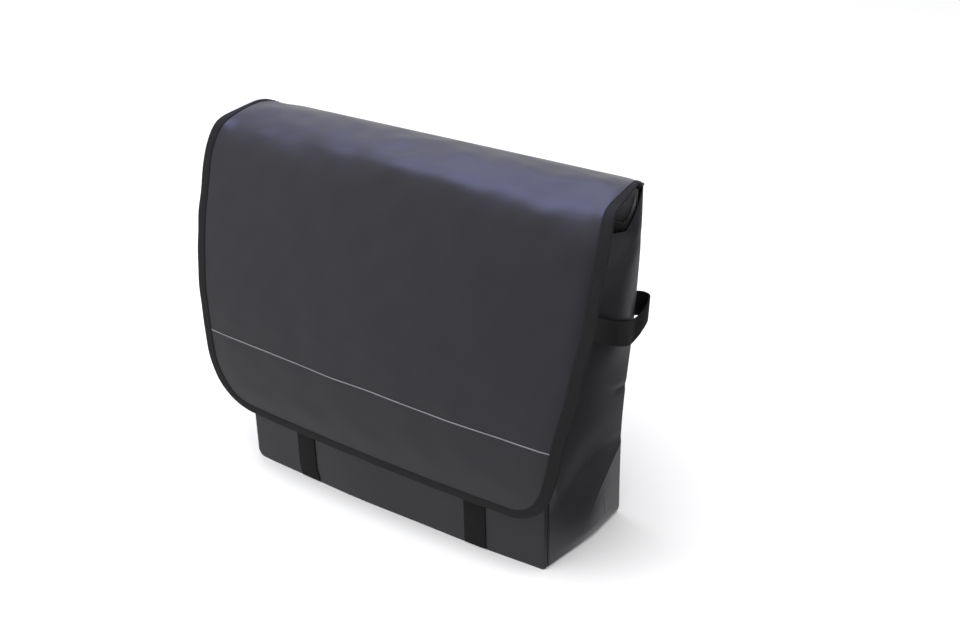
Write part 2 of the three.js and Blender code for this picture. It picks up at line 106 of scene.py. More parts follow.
def stacked(*parts):
    # one array from parts that stretch to a shared shape, the parts side by side in its last place
    return np.stack(np.broadcast_arrays(*parts), -1)


# Meshes
def gridCorners(rows, columns, closed=False):
    # four corners of each cell of a grid, as row and column numbers
    # a closed grid joins its last column to its first
    r, c = np.meshgrid(np.arange(rows - 1), np.arange(columns if closed else columns - 1), indexing="ij")
    r, c = r.ravel(), c.ravel()
    return np.stack([r, r, r + 1, r + 1], 1), np.stack([c, c + 1, c + 1, c], 1)


def addObject(name, data):
    # an object in the scene, at the origin
    made = bpy.data.objects.new(name, data)
    bpy.context.scene.collection.objects.link(made)
    return made


def makePiece(name, points, faces, uv, material, nodes=()):
    # an object from points in the bag's millimetres, faces as lists of point numbers,
    # and a UV pair for each corner
    mesh = bpy.data.meshes.new(name)
    placed = (np.asarray(points, float).reshape(-1, 3) + (0, bagShift, 0)) * mm
    mesh.from_pydata(placed.tolist(), [], faces)
    mesh.uv_layers.new(name="UVMap").data.foreach_set("uv", np.asarray(uv, np.float32).ravel() * mm)
    mesh.polygons.foreach_set("use_smooth", np.ones(len(mesh.polygons), bool))
    mesh.materials.append(material)
    mesh.update()
    piece = addObject(name, mesh)
    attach(piece, "root")
    if nodes:
        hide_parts(*nodes)
    return piece


def clothPanel(name, points, uv, thick, material, nodes, inside=None):
    # a grid of points as a sheet of cloth: the grid is its outer face, and its thickness lies behind it
    rows, columns = points.shape[:2]
    r, c = gridCorners(rows, columns)
    faces = (r * columns + c).tolist()
    piece = makePiece(name, points, faces, uv[r, c], material, nodes)
    wall = piece.modifiers.new("cloth", "SOLIDIFY")
    wall.thickness = thick * mm
    wall.offset = -1
    wall.use_even_offset = True
    if inside is not None:
        piece.data.materials.append(inside)
        wall.material_offset = 1
    return piece


def sweptBody(name, sections, uv, material, nodes=()):
    # closed body: sections holds one closed outline for each station along a path, and both ends are capped
    rows, columns = sections.shape[:2]
    r, c = gridCorners(rows, columns, closed=True)
    faces = (r * columns + c % columns).tolist()
    corners = uv[r, c].reshape(-1, 2)
    first = np.arange(columns)[::-1]
    last = (rows - 1) * columns + np.arange(columns)
    faces += [first.tolist(), last.tolist()]
    corners = np.concatenate([corners, uv[0, first], uv[-1, :columns]])
    if signedVolume(sections) < 0:
        faces = [face[::-1] for face in faces]
        corners = np.concatenate([uv[r, c][:, ::-1].reshape(-1, 2), uv[0, :columns], uv[-1, first]])
    return makePiece(name, sections, faces, corners, material, nodes)


def signedVolume(sections):
    # six times the volume between a grid of closed outlines and its middle, summed over its triangles:
    # it is negative where the faces look inwards
    rows, columns = sections.shape[:2]
    p = sections.reshape(-1, 3) - sections.reshape(-1, 3).mean(0)
    r, c = gridCorners(rows, columns, closed=True)
    q = p[r * columns + c % columns]
    total = np.einsum("ij,ij->", q[:, 0], np.cross(q[:, 1], q[:, 2]))
    total += np.einsum("ij,ij->", q[:, 0], np.cross(q[:, 2], q[:, 3]))
    return total


def roundedBar(width, thick, radius, steps=4):
    # outline of a flat bar with rounded edges, as pairs: across its width, and out from its middle plane
    turn = np.linspace(0, math.pi / 2, steps)
    arc = np.column_stack([np.cos(turn), np.sin(turn)]) * radius
    quarter = arc + (width / 2 - radius, thick / 2 - radius)
    upper = np.concatenate([quarter, quarter[::-1] * (-1, 1)])
    return np.concatenate([upper, upper * (-1, -1)])


def wrapUv(outline, path):
    # UV pairs of an outline carried along a path: distance round the outline, distance along the path
    around = lengthAlong(np.concatenate([outline, outline[:1]]))
    return stacked(around[None, :], lengthAlong(path)[:, None])


def ribbon(name, path, normals, outline, material, nodes=()):
    # an outline carried along a path: its first measure lies across the path, its second along the normals
    tangents = unit(np.gradient(path, axis=0))
    across = unit(np.cross(normals, tangents))
    lifted = np.cross(tangents, across)
    sections = path[:, None] + outline[None, :, :1] * across[:, None] + outline[None, :, 1:] * lifted[:, None]
    return sweptBody(name, sections, wrapUv(outline, path), material, nodes)


# Shader maths: a socket that takes part in arithmetic
class Wire:
    def __init__(self, tree, socket=None):
        self.tree = tree
        self.socket = socket

    def node(self, kind, settings=None, inputs=None, output=0):
        made = self.tree.nodes.new(kind)
        for name, value in (settings or {}).items():
            setattr(made, name, value)
        for name, value in (inputs or {}).items():
            if isinstance(value, Wire):
                self.tree.links.new(value.socket, made.inputs[name])
            else:
                made.inputs[name].default_value = value
        return made if output is None else Wire(self.tree, made.outputs[output])

    def maths(self, operation, first, second=0.0):
        return self.node("ShaderNodeMath", {"operation": operation}, {0: first, 1: second})

    def __add__(self, other):
        return self.maths("ADD", self, other)

    def __radd__(self, other):
        return self.maths("ADD", other, self)

    def __sub__(self, other):
        return self.maths("SUBTRACT", self, other)

    def __rsub__(self, other):
        return self.maths("SUBTRACT", other, self)

    def __mul__(self, other):
        return self.maths("MULTIPLY", self, other)

    def __rmul__(self, other):
        return self.maths("MULTIPLY", other, self)

    def sine(self):
        return self.maths("SINE", self)

    def noise(self, where, scale, detail=2.0):
        inputs = {"Vector": where, "Scale": scale, "Detail": detail}
        return self.node("ShaderNodeTexNoise", {}, inputs, "Fac")

    def shade(self, amount, dark, light):
        # the mix node's colours are its inputs 6 and 7 and its output 2
        ends = {0: amount, 6: (*dark, 1), 7: (*light, 1)}
        return self.node("ShaderNodeMix", {"data_type": "RGBA"}, ends, 2)

    def split(self):
        # the two parts of a UV pair
        parts = self.node("ShaderNodeSeparateXYZ", {}, {0: self}, None)
        return Wire(self.tree, parts.outputs[0]), Wire(self.tree, parts.outputs[1])

    def finish(self):
        # this shader becomes the material's surface
        self.node("ShaderNodeOutputMaterial", {}, {"Surface": self}, None)


def newFinish(name):
    # an empty material, and the wire that starts its nodes
    material = bpy.data.materials.new(name)
    material.use_nodes = True
    material.node_tree.nodes.clear()
    return material, Wire(material.node_tree)


def closeFinish(wire, colour, roughness, height, relief, constants):
    # surface shader from a colour, a roughness and a bump height in metres times relief
    bump = wire.node("ShaderNodeBump", {}, {"Strength": 1.0, "Distance": relief, "Height": height})
    inputs = {"Base Color": colour, "Roughness": roughness, "Normal": bump, **constants}
    wire.node("ShaderNodeBsdfPrincipled", {}, inputs, "BSDF").finish()


# Finishes: sizes of threads in millimetres, noise scales per metre, relief in metres
coatedLook = {
    "dark": (0.0110, 0.0105, 0.0140), "light": (0.0150, 0.0144, 0.0190), "specular": 0.34,
    "cloud": 9.0, "grain": 900, "weave": 1.1, "relief": 0.00005, "grainHeight": 0.7, "weaveHeight": 0.15,
    "cloudTone": 0.6, "grainTone": 0.4, "roughness": 0.38, "cloudRoughness": 0.10, "grainRoughness": 0.05,
}


def coatedCloth(name, look):
    # coated cloth: cloudy black, a fine pressed grain over a faint weave
    material, wire = newFinish(name)
    place = wire.node("ShaderNodeTexCoord", {}, {}, "Object")
    u, v = wire.node("ShaderNodeTexCoord", {}, {}, "UV").split()
    cloud = wire.noise(place, look["cloud"], 3.0)
    grain = wire.noise(place, look["grain"])
    turns = 2 * math.pi / (look["weave"] * mm)
    weave = (u * turns).sine() * (v * turns).sine()
    height = grain * look["grainHeight"] + weave * look["weaveHeight"]
    colour = wire.shade(cloud * look["cloudTone"] + grain * look["grainTone"], look["dark"], look["light"])
    uneven = (cloud - 0.5) * look["cloudRoughness"] + (grain - 0.5) * look["grainRoughness"]
    roughness = look["roughness"] + uneven
    closeFinish(wire, colour, roughness, height, look["relief"], {"Specular IOR Level": look["specular"]})
    return material


ribbedMix = {"rib": 0.5, "crossed": 0.35, "weaveTone": 0.25, "fuzzTone": 0.75, "fuzzRoughness": 0.15,
             "weaveHeight": 0.5, "fuzzHeight": 0.4}


def ribbedCloth(name, look):
    # narrow woven goods: ribs along or across, crossed by finer threads, on the piece's own UV map
    material, wire = newFinish(name)
    u, v = wire.node("ShaderNodeTexCoord", {}, {}, "UV").split()
    place = wire.node("ShaderNodeTexCoord", {}, {}, "Object")
    ribs = (v * (2 * math.pi / (look["rib"] * mm))).sine()
    threads = (u * (2 * math.pi / (look["thread"] * mm))).sine()
    weave = ribs * ribbedMix["rib"] + ribs * threads * ribbedMix["crossed"]
    fuzz = wire.noise(place, look["fuzz"], 3.0)
    tone = weave * ribbedMix["weaveTone"] + fuzz * ribbedMix["fuzzTone"]
    colour = wire.shade(tone, look["dark"], look["light"])
    roughness = look["roughness"] + (fuzz - 0.5) * ribbedMix["fuzzRoughness"]
    height = weave * ribbedMix["weaveHeight"] + fuzz * ribbedMix["fuzzHeight"]
    closeFinish(wire, colour, roughness, height, look["relief"], {"Specular IOR Level": look["specular"]})
    return material


plainMix = {"specular": 0.5, "grainRoughness": 0.12}


def plainFinish(name, look):
    # moulded or drawn goods: one colour with faint clouds and a little unevenness
    material, wire = newFinish(name)
    place = wire.node("ShaderNodeTexCoord", {}, {}, "Object")
    cloud = wire.noise(place, look["cloud"], 3.0)
    grain = wire.noise(place, look["grain"])
    colour = wire.shade(cloud, look["dark"], look["light"])
    roughness = look["roughness"] + (grain - 0.5) * plainMix["grainRoughness"]
    constants = {"Specular IOR Level": plainMix["specular"], "Metallic": look["metallic"]}
    closeFinish(wire, colour, roughness, grain, look["relief"], constants)
    return material


tapeLook = {"dark": (0.010, 0.010, 0.0108), "light": (0.016, 0.016, 0.017), "rib": 1.0, "thread": 0.8,
            "fuzz": 700, "roughness": 0.75, "relief": 0.00012, "specular": 0.14}
webbingLook = {"dark": (0.006, 0.006, 0.0066), "light": (0.012, 0.012, 0.013), "rib": 1.6, "thread": 1.25,
               "fuzz": 600, "roughness": 0.70, "relief": 0.0002, "specular": 0.12}
liningLook = {"dark": (0.17, 0.17, 0.176), "light": (0.23, 0.23, 0.238), "rib": 0.9, "thread": 0.9,
              "fuzz": 500, "roughness": 0.75, "relief": 0.00006, "specular": 0.3}
flapLiningLook = {**liningLook, "dark": (0.055, 0.055, 0.058), "light": (0.085, 0.085, 0.09)}
threadLook = {"dark": (0.011, 0.011, 0.012), "light": (0.022, 0.022, 0.024), "rib": 0.5, "thread": 0.5,
              "fuzz": 900, "roughness": 0.7, "relief": 0.0001, "specular": 0.15}
pipingLook = {"dark": (0.10, 0.10, 0.104), "light": (0.21, 0.21, 0.218), "roughness": 0.42, "metallic": 0.0,
              "cloud": 60, "grain": 1500, "relief": 0.00004}
plasticLook = {"dark": (0.005, 0.005, 0.0055), "light": (0.008, 0.008, 0.009), "roughness": 0.26,
               "metallic": 0.0, "cloud": 60, "grain": 1200, "relief": 0.00002}
steelLook = {"dark": (0.42, 0.42, 0.44), "light": (0.55, 0.55, 0.57), "roughness": 0.24, "metallic": 1.0,
             "cloud": 200, "grain": 2500, "relief": 0.00001}

coated = coatedCloth("coatedCloth", coatedLook)
lining = ribbedCloth("bareLining", liningLook)
flapLining = ribbedCloth("flapLining", flapLiningLook)
tape = ribbedCloth("edgeTape", tapeLook)
webbing = ribbedCloth("wovenWebbing", webbingLook)
thread = ribbedCloth("sewingThread", threadLook)
reflective = plainFinish("reflectivePiping", pipingLook)
plastic = plainFinish("mouldedPlastic", plasticLook)
steel = plainFinish("rivetSteel", steelLook)
print("finishes made")

# Camera at the photograph's view, fitted to the bag's corners and edges
view = {"focal": 1514.8, "frameWidth": 960, "pitch": 24.7, "yaw": 38.4, "roll": -1.6, "distance": 1429.2,
        "target": (69.1, 0, 206.7), "sensor": 36, "clipEnd": 50}


def makeCamera():
    yaw, pitch, roll = (math.radians(view[k]) for k in ("yaw", "pitch", "roll"))
    back = Vector((math.sin(yaw) * math.cos(pitch), -math.cos(yaw) * math.cos(pitch), math.sin(pitch)))
    level = Vector((math.cos(yaw), math.sin(yaw), 0))
    upright = back.cross(level)
    right = level * math.cos(roll) + upright * math.sin(roll)
    up = back.cross(right)
    data = bpy.data.cameras.new("camera")
    data.sensor_width = view["sensor"]
    data.lens = view["focal"] / view["frameWidth"] * view["sensor"]
    data.clip_end = view["clipEnd"]
    camera = addObject("camera", data)
    camera.matrix_world = Matrix((right, up, back)).transposed().to_4x4()
    camera.location = (Vector(view["target"]) + back * view["distance"] + Vector((0, bagShift, 0))) * mm
    bpy.context.scene.camera = camera


makeCamera()

# Body: its sections by height, as in the solid
body = {
    "cloth": 1.6, "board": 3, "gap": 0.3, "panelTop": 318, "backTop": 342, "mouth": 300,
    # rounded lower corners: depth and height
    "footFrontRight": (3, 3), "footBackRight": (4, 9), "footLeft": (8, 8), "footSteps": 14,
    # how far cloth turns in at a seam, and over what distance
    "panelRoll": (2.0, 2.0), "frontRoll": (2.0, 2.2), "backRoll": (3.4, 32.0), "seamOpen": 2.8,
    # height, half width, depth of the front corner, crown of the front
    "sections": [
        (0, 187.5, 62.5, 6), (50, 188, 62.5, 6.5), (100, 189.5, 62, 11), (150, 194, 60, 18),
        (200, 199.5, 55, 20), (250, 204, 47, 19), (290, 206.5, 36, 17), (342, 208, 18, 12),
    ],
}
backInner = backOuter - body["board"]


def bodyAt(z):
    # half width, front corner's y and front crown at each height
    found = through(body["sections"], z)
    return found[..., 0], -found[..., 1], found[..., 2]


def footInset(z, x, y):
    # how far the rounded lower corner steps in at each end: a quarter of an ellipse, its depth less its chord
    toBack = smooth(-bagDepth / 2, bagDepth / 2, y)[..., None]
    front, back = np.array(body["footFrontRight"]), np.array(body["footBackRight"])
    right = front + toBack * (back - front)
    corner = np.where(np.asarray(x)[..., None] > 0, right, np.array(body["footLeft"], float))
    deep, tall = corner[..., 0], corner[..., 1]
    return deep * (1 - np.sqrt(1 - np.clip(1 - z / tall, 0, 1) ** 2))


def seamRoll(distance, roll):
    # how far cloth turns in near a seam: a quarter of an ellipse, as deep and as wide as the roll says
    deep, wide = roll
    return deep * (1 - np.sqrt(1 - np.clip(1 - distance / wide, 0, 1) ** 2))


def footRows(top, even):
    # heights: close together round the lower corner, then even up to the top
    foot = body["footLeft"][1]
    arc = foot * (1 - np.cos(np.linspace(0, math.pi / 2, body["footSteps"])[:-1]))
    return np.concatenate([arc, np.linspace(foot, top, even)])


def edgeSpread(count):
    # positions from -1 to 1, closer together near both ends: sine of an even spread
    return np.sin(np.linspace(-math.pi / 2, math.pi / 2, count))


frontLook = {
    "columns": 141, "rows": 100,
    # soft waves: height, then length and start of the wave across and of the one upwards
    "broadWave": (0.5, 41, 0.6, 33, 0.4),
    # height, length across and length upwards
    "slantWave": (0.35, 23, 51),
    "waveEdge": 4,
}


def frontFace(x, z):
    # front panel's y: the corner's y less a parabolic crown, with soft waves
    half, corner, crown = bodyAt(z)
    bow = 1 - (x / half) ** 2
    high, lengthX, startX, lengthZ, startZ = frontLook["broadWave"]
    waves = high * np.sin(x / lengthX + startX) * np.sin(z / lengthZ + startZ)
    high, lengthX, lengthZ = frontLook["slantWave"]
    waves = waves + high * np.sin(x / lengthX + z / lengthZ)
    return corner - crown * bow + waves * np.clip(bow * frontLook["waveEdge"], 0, 1)


def frontPanel():
    z = footRows(body["panelTop"], frontLook["rows"])[:, None]
    spread = edgeSpread(frontLook["columns"])[None, :]
    reach = bodyAt(z)[0] - footInset(z, spread, -bagDepth / 2)
    x = spread * reach
    y = frontFace(x, z) + seamRoll(reach - np.abs(x), body["panelRoll"])
    return clothPanel("frontPanel", stacked(x, y, z), stacked(x, z), body["cloth"], coated,
                      ["front_panel"], lining)


frontSheet = frontPanel()
print("front panel made")

gussetLook = {
    "columns": 151, "rows": 180, "frontTop": 318, "frontFallEnd": 0.3,
    "backTop": 346, "backRise": 0.78, "backBend": 1.15, "mouthRise": 6,
    # the fold's slope is soft below these heights and sharp above them
    "soften": (50, 90),
    # slope behind the valley: its power, what is added at mid height, heights where that comes and goes
    "steep": (1.6, 0.8, (120, 200), (275, 305)),
    # height, and how far back from the front seam the valley lies, as a share
    "valley": [(0, 0.44), (30, 0.36), (60, 0.17), (90, 0.12), (140, 0.15), (200, 0.18), (250, 0.27),
               (290, 0.4), (306, 0.45), (346, 0.47)],
    # height, depth of the valley in the side
    "fold": [(0, 0), (20, 0), (60, 0.4), (75, 1.4), (90, 4.2), (120, 11), (160, 17), (200, 20.5), (250, 27),
             (300, 34), (346, 36)],
    # height, and how far back from the front seam the lower crease lies, as a share
    "crease": [(0, 0.44), (8, 0.455), (16, 0.475), (30, 0.515), (43, 0.60), (56, 0.715), (64, 0.80),
               (71, 0.89), (77, 0.97), (84, 1), (110, 1)],
    "creaseGap": 0.05,
    # ridge on the crease: heights where it fades, then its reach and softness, each at top and foot
    "ridgeFade": (28, 74), "ridgeReach": (0.26, 0.56), "ridgeSoft": (0.1, 3.6),
    # facet behind the crease: its slope, and the part of it that comes in above the floor up to a height
    "facet": 17, "facetRise": 0.3, "facetFull": 16,
    # slanting dent: depth, height at the front seam, rise to the back, reach above and below, middle, reach
    "dent": (2.6, 62, 37, 24, 12, 0.45, 0.34),
    # short line on the facet: height, share at the floor, its lean, width, middle height, reach
    "facetLine": (0.3, 0.775, -0.0015, 0.018, 26, 10),
    # line along the crease: height, distance behind the crease, width, middle height, reach
    "creaseLine": (0.5, 0.01, 0.018, 62, 20),
    # pulls at the back seam: where they fade in, then depth, height, slant and reach of each
    "pullShare": (0.70, 0.90), "lowPull": (0.4, 87, 0, 5), "highPull": (0.8, 152, 9, 4),
    # fold near the top: depth, share and height of its middle, lean, width, height, reach
    "topFold": (0.7, 0.80, 284, 0.012, 0.10, 286, 16),
    # soft swells: height, length, slant, middle share, reach, heights where they fade in
    "swells": (0.5, 19, 4, 0.78, 0.2, (95, 130)),
    # full cloth before the back seam: where it begins and is full in widths of its roll, heights of fading in
    "swellShare": (0.9, 2.1), "swellFade": (165, 225),
    "otherSide": 9, "footFade": 14,
}


def gussetTop(share):
    # upper edge: level at the mouth, up to the front seam, and in a slanting line to the back seam
    front = 1 - smooth(0, gussetLook["frontFallEnd"], share)
    back = np.clip((share - gussetLook["backRise"]) / (1 - gussetLook["backRise"]), 0, 1)
    back = back ** gussetLook["backBend"]
    level = body["mouth"] + gussetLook["mouthRise"]
    return level + front * (gussetLook["frontTop"] - level) + back * (gussetLook["backTop"] - level)


def valleyShare(z):
    # where the side's valley lies at each height: further forward at mid height
    return through(gussetLook["valley"], z)[..., 0]


def creaseShare(z):
    # where the lower crease lies at each height, never in front of the valley
    return np.clip(through(gussetLook["crease"], z)[..., 0], valleyShare(z) + gussetLook["creaseGap"], 1)


def gussetFold(share, z):
    # depth of the side fold: from the crease down to the valley, then a soft slope up to the front seam
    valley, crease = valleyShare(z), creaseShare(z)
    high = smooth(*gussetLook["soften"], z)
    u = np.clip((crease - share) / (crease - valley), 0, 1)
    least, more, comes, goes = gussetLook["steep"]
    steep = least + more * smooth(*comes, z) * (1 - smooth(*goes, z))
    behind = u * (2 - u) * (1 - high) + u**steep * high
    v = np.clip(share / valley, 0, 1)
    ahead = v * v * (3 - 2 * v) * (1 - high) + v * high
    return through(gussetLook["fold"], z)[..., 0] * np.where(share > valley, behind, ahead)


def gussetCrease(share, z):
    # ridge along the lower crease: the lesser of a rise towards it and a facet behind it, softly joined
    crease = creaseShare(z)
    low = 1 - smooth(*gussetLook["ridgeFade"], z)
    ends = (gussetLook["ridgeReach"], gussetLook["ridgeSoft"])
    reach, soft = (top + (foot - top) * low for top, foot in ends)
    missing = gussetLook["facetRise"] * (1 - smooth(0, gussetLook["facetFull"], z))
    facet = gussetLook["facet"] * (1 - missing)
    start = np.exp(-crease / reach)
    ahead = facet * (1 - crease) * (np.exp((share - crease) / reach) - start) / (1 - start)
    return -soft * np.logaddexp(-ahead / soft, -facet * (1 - share) / soft)


def gussetDents(share, z, shift):
    # small relief, as bell curves: a dent that rises to the back with a long upper flank,
    # a line on the facet, one along the crease, pulls at the back seam, a fold near the top, soft swells
    deep, low, rise, above, below, middle, reach = gussetLook["dent"]
    deepest = low + rise * share + shift
    dent = np.where(z > deepest, bell(z, deepest, above), bell(z, deepest, below))
    relief = -deep * dent * bell(share, middle, reach)
    high, start, lean, width, middle, reach = gussetLook["facetLine"]
    relief = relief + high * bell(share, start + lean * z, width) * bell(z, middle + shift, reach)
    high, behind, width, middle, reach = gussetLook["creaseLine"]
    relief = relief + high * bell(share, creaseShare(z) + behind, width) * bell(z, middle, reach)
    near = smooth(*gussetLook["pullShare"], share)
    for name, way in (("lowPull", 1), ("highPull", -1)):
        deep, low, slant, reach = gussetLook[name]
        relief = relief - deep * bell(z, low - slant * near + way * shift, reach) * near
    deep, start, low, lean, width, middle, reach = gussetLook["topFold"]
    line = start + lean * (z - low - shift)
    relief = relief - deep * bell(share, line, width) * bell(z, middle + shift, reach)
    high, length, slant, middle, reach, fade = gussetLook["swells"]
    swells = np.sin(z / length + slant * share + shift) * bell(share, middle, reach) * smooth(*fade, z)
    return relief + high * swells


def backSwell(distance, z):
    # full cloth before the back seam: it stands out, then turns in along a parabola, not so low down
    deep, wide = body["backRoll"]
    full, none = gussetLook["swellShare"]
    swell = 1 - smooth(full * wide, none * wide, distance)
    turn = np.clip(1 - distance / wide, 0, 1) ** 2
    return deep * (swell - turn) * smooth(*gussetLook["swellFade"], z)


def sidePanel(name, sign, x, y, z, uv, thick, material, nodes, inside=None):
    # a panel at the right side, or its mirror image with its columns turned round at the left side
    points = stacked(sign * x, y, z)
    if sign < 0:
        points, uv = points[:, ::-1], uv[:, ::-1]
    return clothPanel(name, points, uv, thick, material, nodes, inside)


def gusset(name, sign, node):
    # side panel: the body's half width less the fold, with ridge, dents, and turns at both seams
    share = (edgeSpread(gussetLook["columns"])[None, :] + 1) / 2
    low = footRows(body["footLeft"][1] + 1, 2)[:-1, None]
    climb = np.linspace(0, 1, gussetLook["rows"])[1:, None]
    z = np.concatenate([low + 0 * share, low[-1] + (gussetTop(share) - low[-1]) * climb])
    half, corner = bodyAt(z)[:2]
    front = corner + body["panelRoll"][0] + body["seamOpen"]
    back = backOuter - body["gap"]
    y = front + (back - front) * share
    x = half - footInset(z, sign, y) - gussetFold(share, z) + gussetCrease(share, z)
    shift = 0 if sign > 0 else gussetLook["otherSide"]
    x = x + gussetDents(share, z, shift) * smooth(0, gussetLook["footFade"], z)
    x = x - seamRoll(y - front, body["frontRoll"]) + backSwell(back - y, z)
    return sidePanel(name, sign, x, y, z, stacked(y, z), body["cloth"], coated, [node], lining)


tuckLook = {
    "inner": 174, "outer": 204, "foot": 290, "y": 57.0, "lean": 4.0, "curl": 1.2, "cloth": 1.2,
    "columns": 41, "rows": 17,
    # share from the inner end, height of the folded edge
    "edge": [(0, 313), (0.25, 310.6), (0.5, 308), (0.64, 309.5), (0.8, 317), (0.92, 328), (1, 337)],
}


def mouthTuck(name, sign):
    # cloth tucked in behind the side's upper edge: a strip before the back panel with a slack folded edge
    share = np.linspace(0, 1, tuckLook["columns"])[None, :]
    climb = np.linspace(0, 1, tuckLook["rows"])[:, None]
    x = tuckLook["inner"] + (tuckLook["outer"] - tuckLook["inner"]) * share
    z = tuckLook["foot"] + (through(tuckLook["edge"], share)[..., 0] - tuckLook["foot"]) * climb
    y = tuckLook["y"] - tuckLook["lean"] * (1 - share) * climb - tuckLook["curl"] * climb**3
    return sidePanel(name, sign, x, y, z, stacked(x, z), tuckLook["cloth"], lining, [])


seamLook = {"width": 6, "wall": 0.8, "edge": 0.3, "in": 2.4, "behind": 1.0, "foot": 3, "top": 314,
            "steps": 120, "facing": (0.75, -0.66, 0.0)}


def seamShadeTape(name, sign):
    # dark tape behind the open front seam, along the body's corner: a dark strip in place of the shade deep
    # in a pinched seam, painted shade along the seam line
    z = np.linspace(seamLook["foot"], seamLook["top"], seamLook["steps"])
    half, corner = bodyAt(z)[:2]
    x = sign * (half - footInset(z, sign, corner) - seamLook["in"])
    y = corner + body["panelRoll"][0] + body["seamOpen"] / 2 + seamLook["behind"]
    normals = unit(np.tile(np.multiply(seamLook["facing"], (sign, 1, 1)), (len(z), 1)))
    outline = roundedBar(seamLook["width"], seamLook["wall"], seamLook["edge"])
    ribbon(name, np.column_stack([x, y, z]), normals, outline, tape)


rightSheet = gusset("gussetRight", 1, "gusset_right")
leftSheet = gusset("gussetLeft", -1, "gusset_left")
# dark strips behind the front seams: painted shade along the seam lines
seamShadeTape("seamTapeRight", 1)
seamShadeTape("seamTapeLeft", -1)
rightTuck = mouthTuck("mouthTuckRight", 1)
leftTuck = mouthTuck("mouthTuckLeft", -1)
print("gussets made")

backLook = {
    "columns": 61, "rows": 80, "edge": (1.2, 1.2), "inset": 1.9,
    # slight wave: height, middle and reach across, length upwards
    "wave": (0.25, 60, 90, 47),
}


def backPanel():
    # stiff flat back: its outer face, turned in a little round its edge
    z = footRows(body["backTop"], backLook["rows"])[:, None]
    spread = edgeSpread(backLook["columns"])[None, ::-1]
    reach = bodyAt(z)[0] - footInset(z, spread, bagDepth / 2) - backLook["inset"]
    x = spread * reach
    high, middle, wide, length = backLook["wave"]
    wave = high * bell(x, middle, wide) * np.sin(z / length)
    y = backOuter - seamRoll(reach - np.abs(x), backLook["edge"]) - wave
    return clothPanel("backPanel", stacked(x, y, z), stacked(x, z), body["board"], coated,
                      ["back_panel"], lining)


baseLook = {"columns": 61, "rows": 25}


def basePanel():
    # base between the panels: flat, from the front panel's foot to the back
    reach = body["sections"][0][1] - body["footLeft"][0] - body["gap"]
    x = np.linspace(-reach, reach, baseLook["columns"])[None, :]
    share = np.linspace(0, 1, baseLook["rows"])[:, None]
    front = frontFace(x, np.zeros_like(x)) + body["cloth"] + body["gap"]
    y = backInner - body["gap"] + (front - backInner + body["gap"]) * share
    return clothPanel("basePanel", stacked(x, y, 0.0), stacked(x, y), body["cloth"], coated,
                      ["base_panel"])


backSheet = backPanel()
baseSheet = basePanel()
print("back and base made")

# Flap: its edge profile, from the hem on the back over the top to the lower front edge
flapLook = {
    "crown": 6, "crownStart": 0.02, "crownFull": 0.4, "cloth": 1.6, "fineSteps": 4000, "frontStart": 0.4,
    "columns": 161, "bendShare": 0.06, "bendRows": 14, "evenRows": 130, "cornerRows": 34,
    # left and right ends of the lower edge: how low each hangs, and the radius of its corner
    "low": (70.8, 65.5), "radius": (48, 38), "shift": 1.8, "shiftStart": 0.5, "lowSpan": 400,
    # ripple of the side edges: height, length, start, then distances where it fades in and out
    "ripple": (0.4, 11, 0.8, (20, 60), (0, 60)),
    # y, z and half width at the side edge
    "sections": [
        (64.8, 338, 203), (64.8, 343, 206), (60, 349.5, 210), (46, 355, 217), (28, 360.5, 225),
        (8, 362, 229.5), (-14, 357, 233.5), (-31, 349, 237.5), (-43, 331, 239.5), (-54, 300, 239.5),
        (-65, 260, 238.3), (-75, 220, 234.6), (-83, 180, 228.5), (-88, 140, 221), (-89, 100, 213),
        (-87, 73, 208), (-86, 60, 205.6),
    ],
}
flapKnots = np.array(flapLook["sections"], float)
flapFine = fineCurve(flapKnots, flapLook["fineSteps"])
flapRun = lengthAlong(flapFine)
flapLength = flapRun[-1]
flapTurn = unit(np.gradient(flapFine[:, :2], axis=0))


def flapProfile(s):
    # y, z, half width and outward normal at a distance s along the flap's edge
    y, z, half = (np.interp(s, flapRun, flapFine[:, k]) for k in range(3))
    ny, nz = np.interp(s, flapRun, flapTurn[:, 1]), -np.interp(s, flapRun, flapTurn[:, 0])
    return y, z, half, ny, nz


def flapAtHeight(z):
    # distance along the profile where the front is at a height
    front = flapRun > flapLook["frontStart"] * flapLength
    return np.interp(-np.asarray(z), -flapFine[front, 1], flapRun[front])


flapEnd = flapAtHeight(flapLook["low"])


def flapAside(s):
    # how far the flap lies to the left: its lower part hangs a little askew
    return flapLook["shift"] * smooth(flapLook["shiftStart"] * flapLength, flapLength, s)


def flapSides(share, turn):
    # left and right end of each row, as distances s along the profile and x across: straight down, then round
    radius = np.array(flapLook["radius"], float)
    s = share[:, None] * (flapEnd - radius) + radius * np.sin(turn)[:, None]
    high, length, start, comes, goes = flapLook["ripple"]
    ripple = high * np.sin(s / length + start) * smooth(*comes, s) * smooth(*goes, flapEnd - s)
    reach = flapProfile(s)[2] - radius * (1 - np.cos(turn))[:, None] + ripple
    return s, reach * (-1, 1) - flapAside(s)


def between(pair, share):
    # positions from the first column to the second one, by a share
    return pair[..., :1] + (pair[..., 1:] - pair[..., :1]) * share


def flapLow(s, x):
    # distance from the lower edge, along the profile
    return between(flapEnd, 0.5 + x / flapLook["lowSpan"]) - s


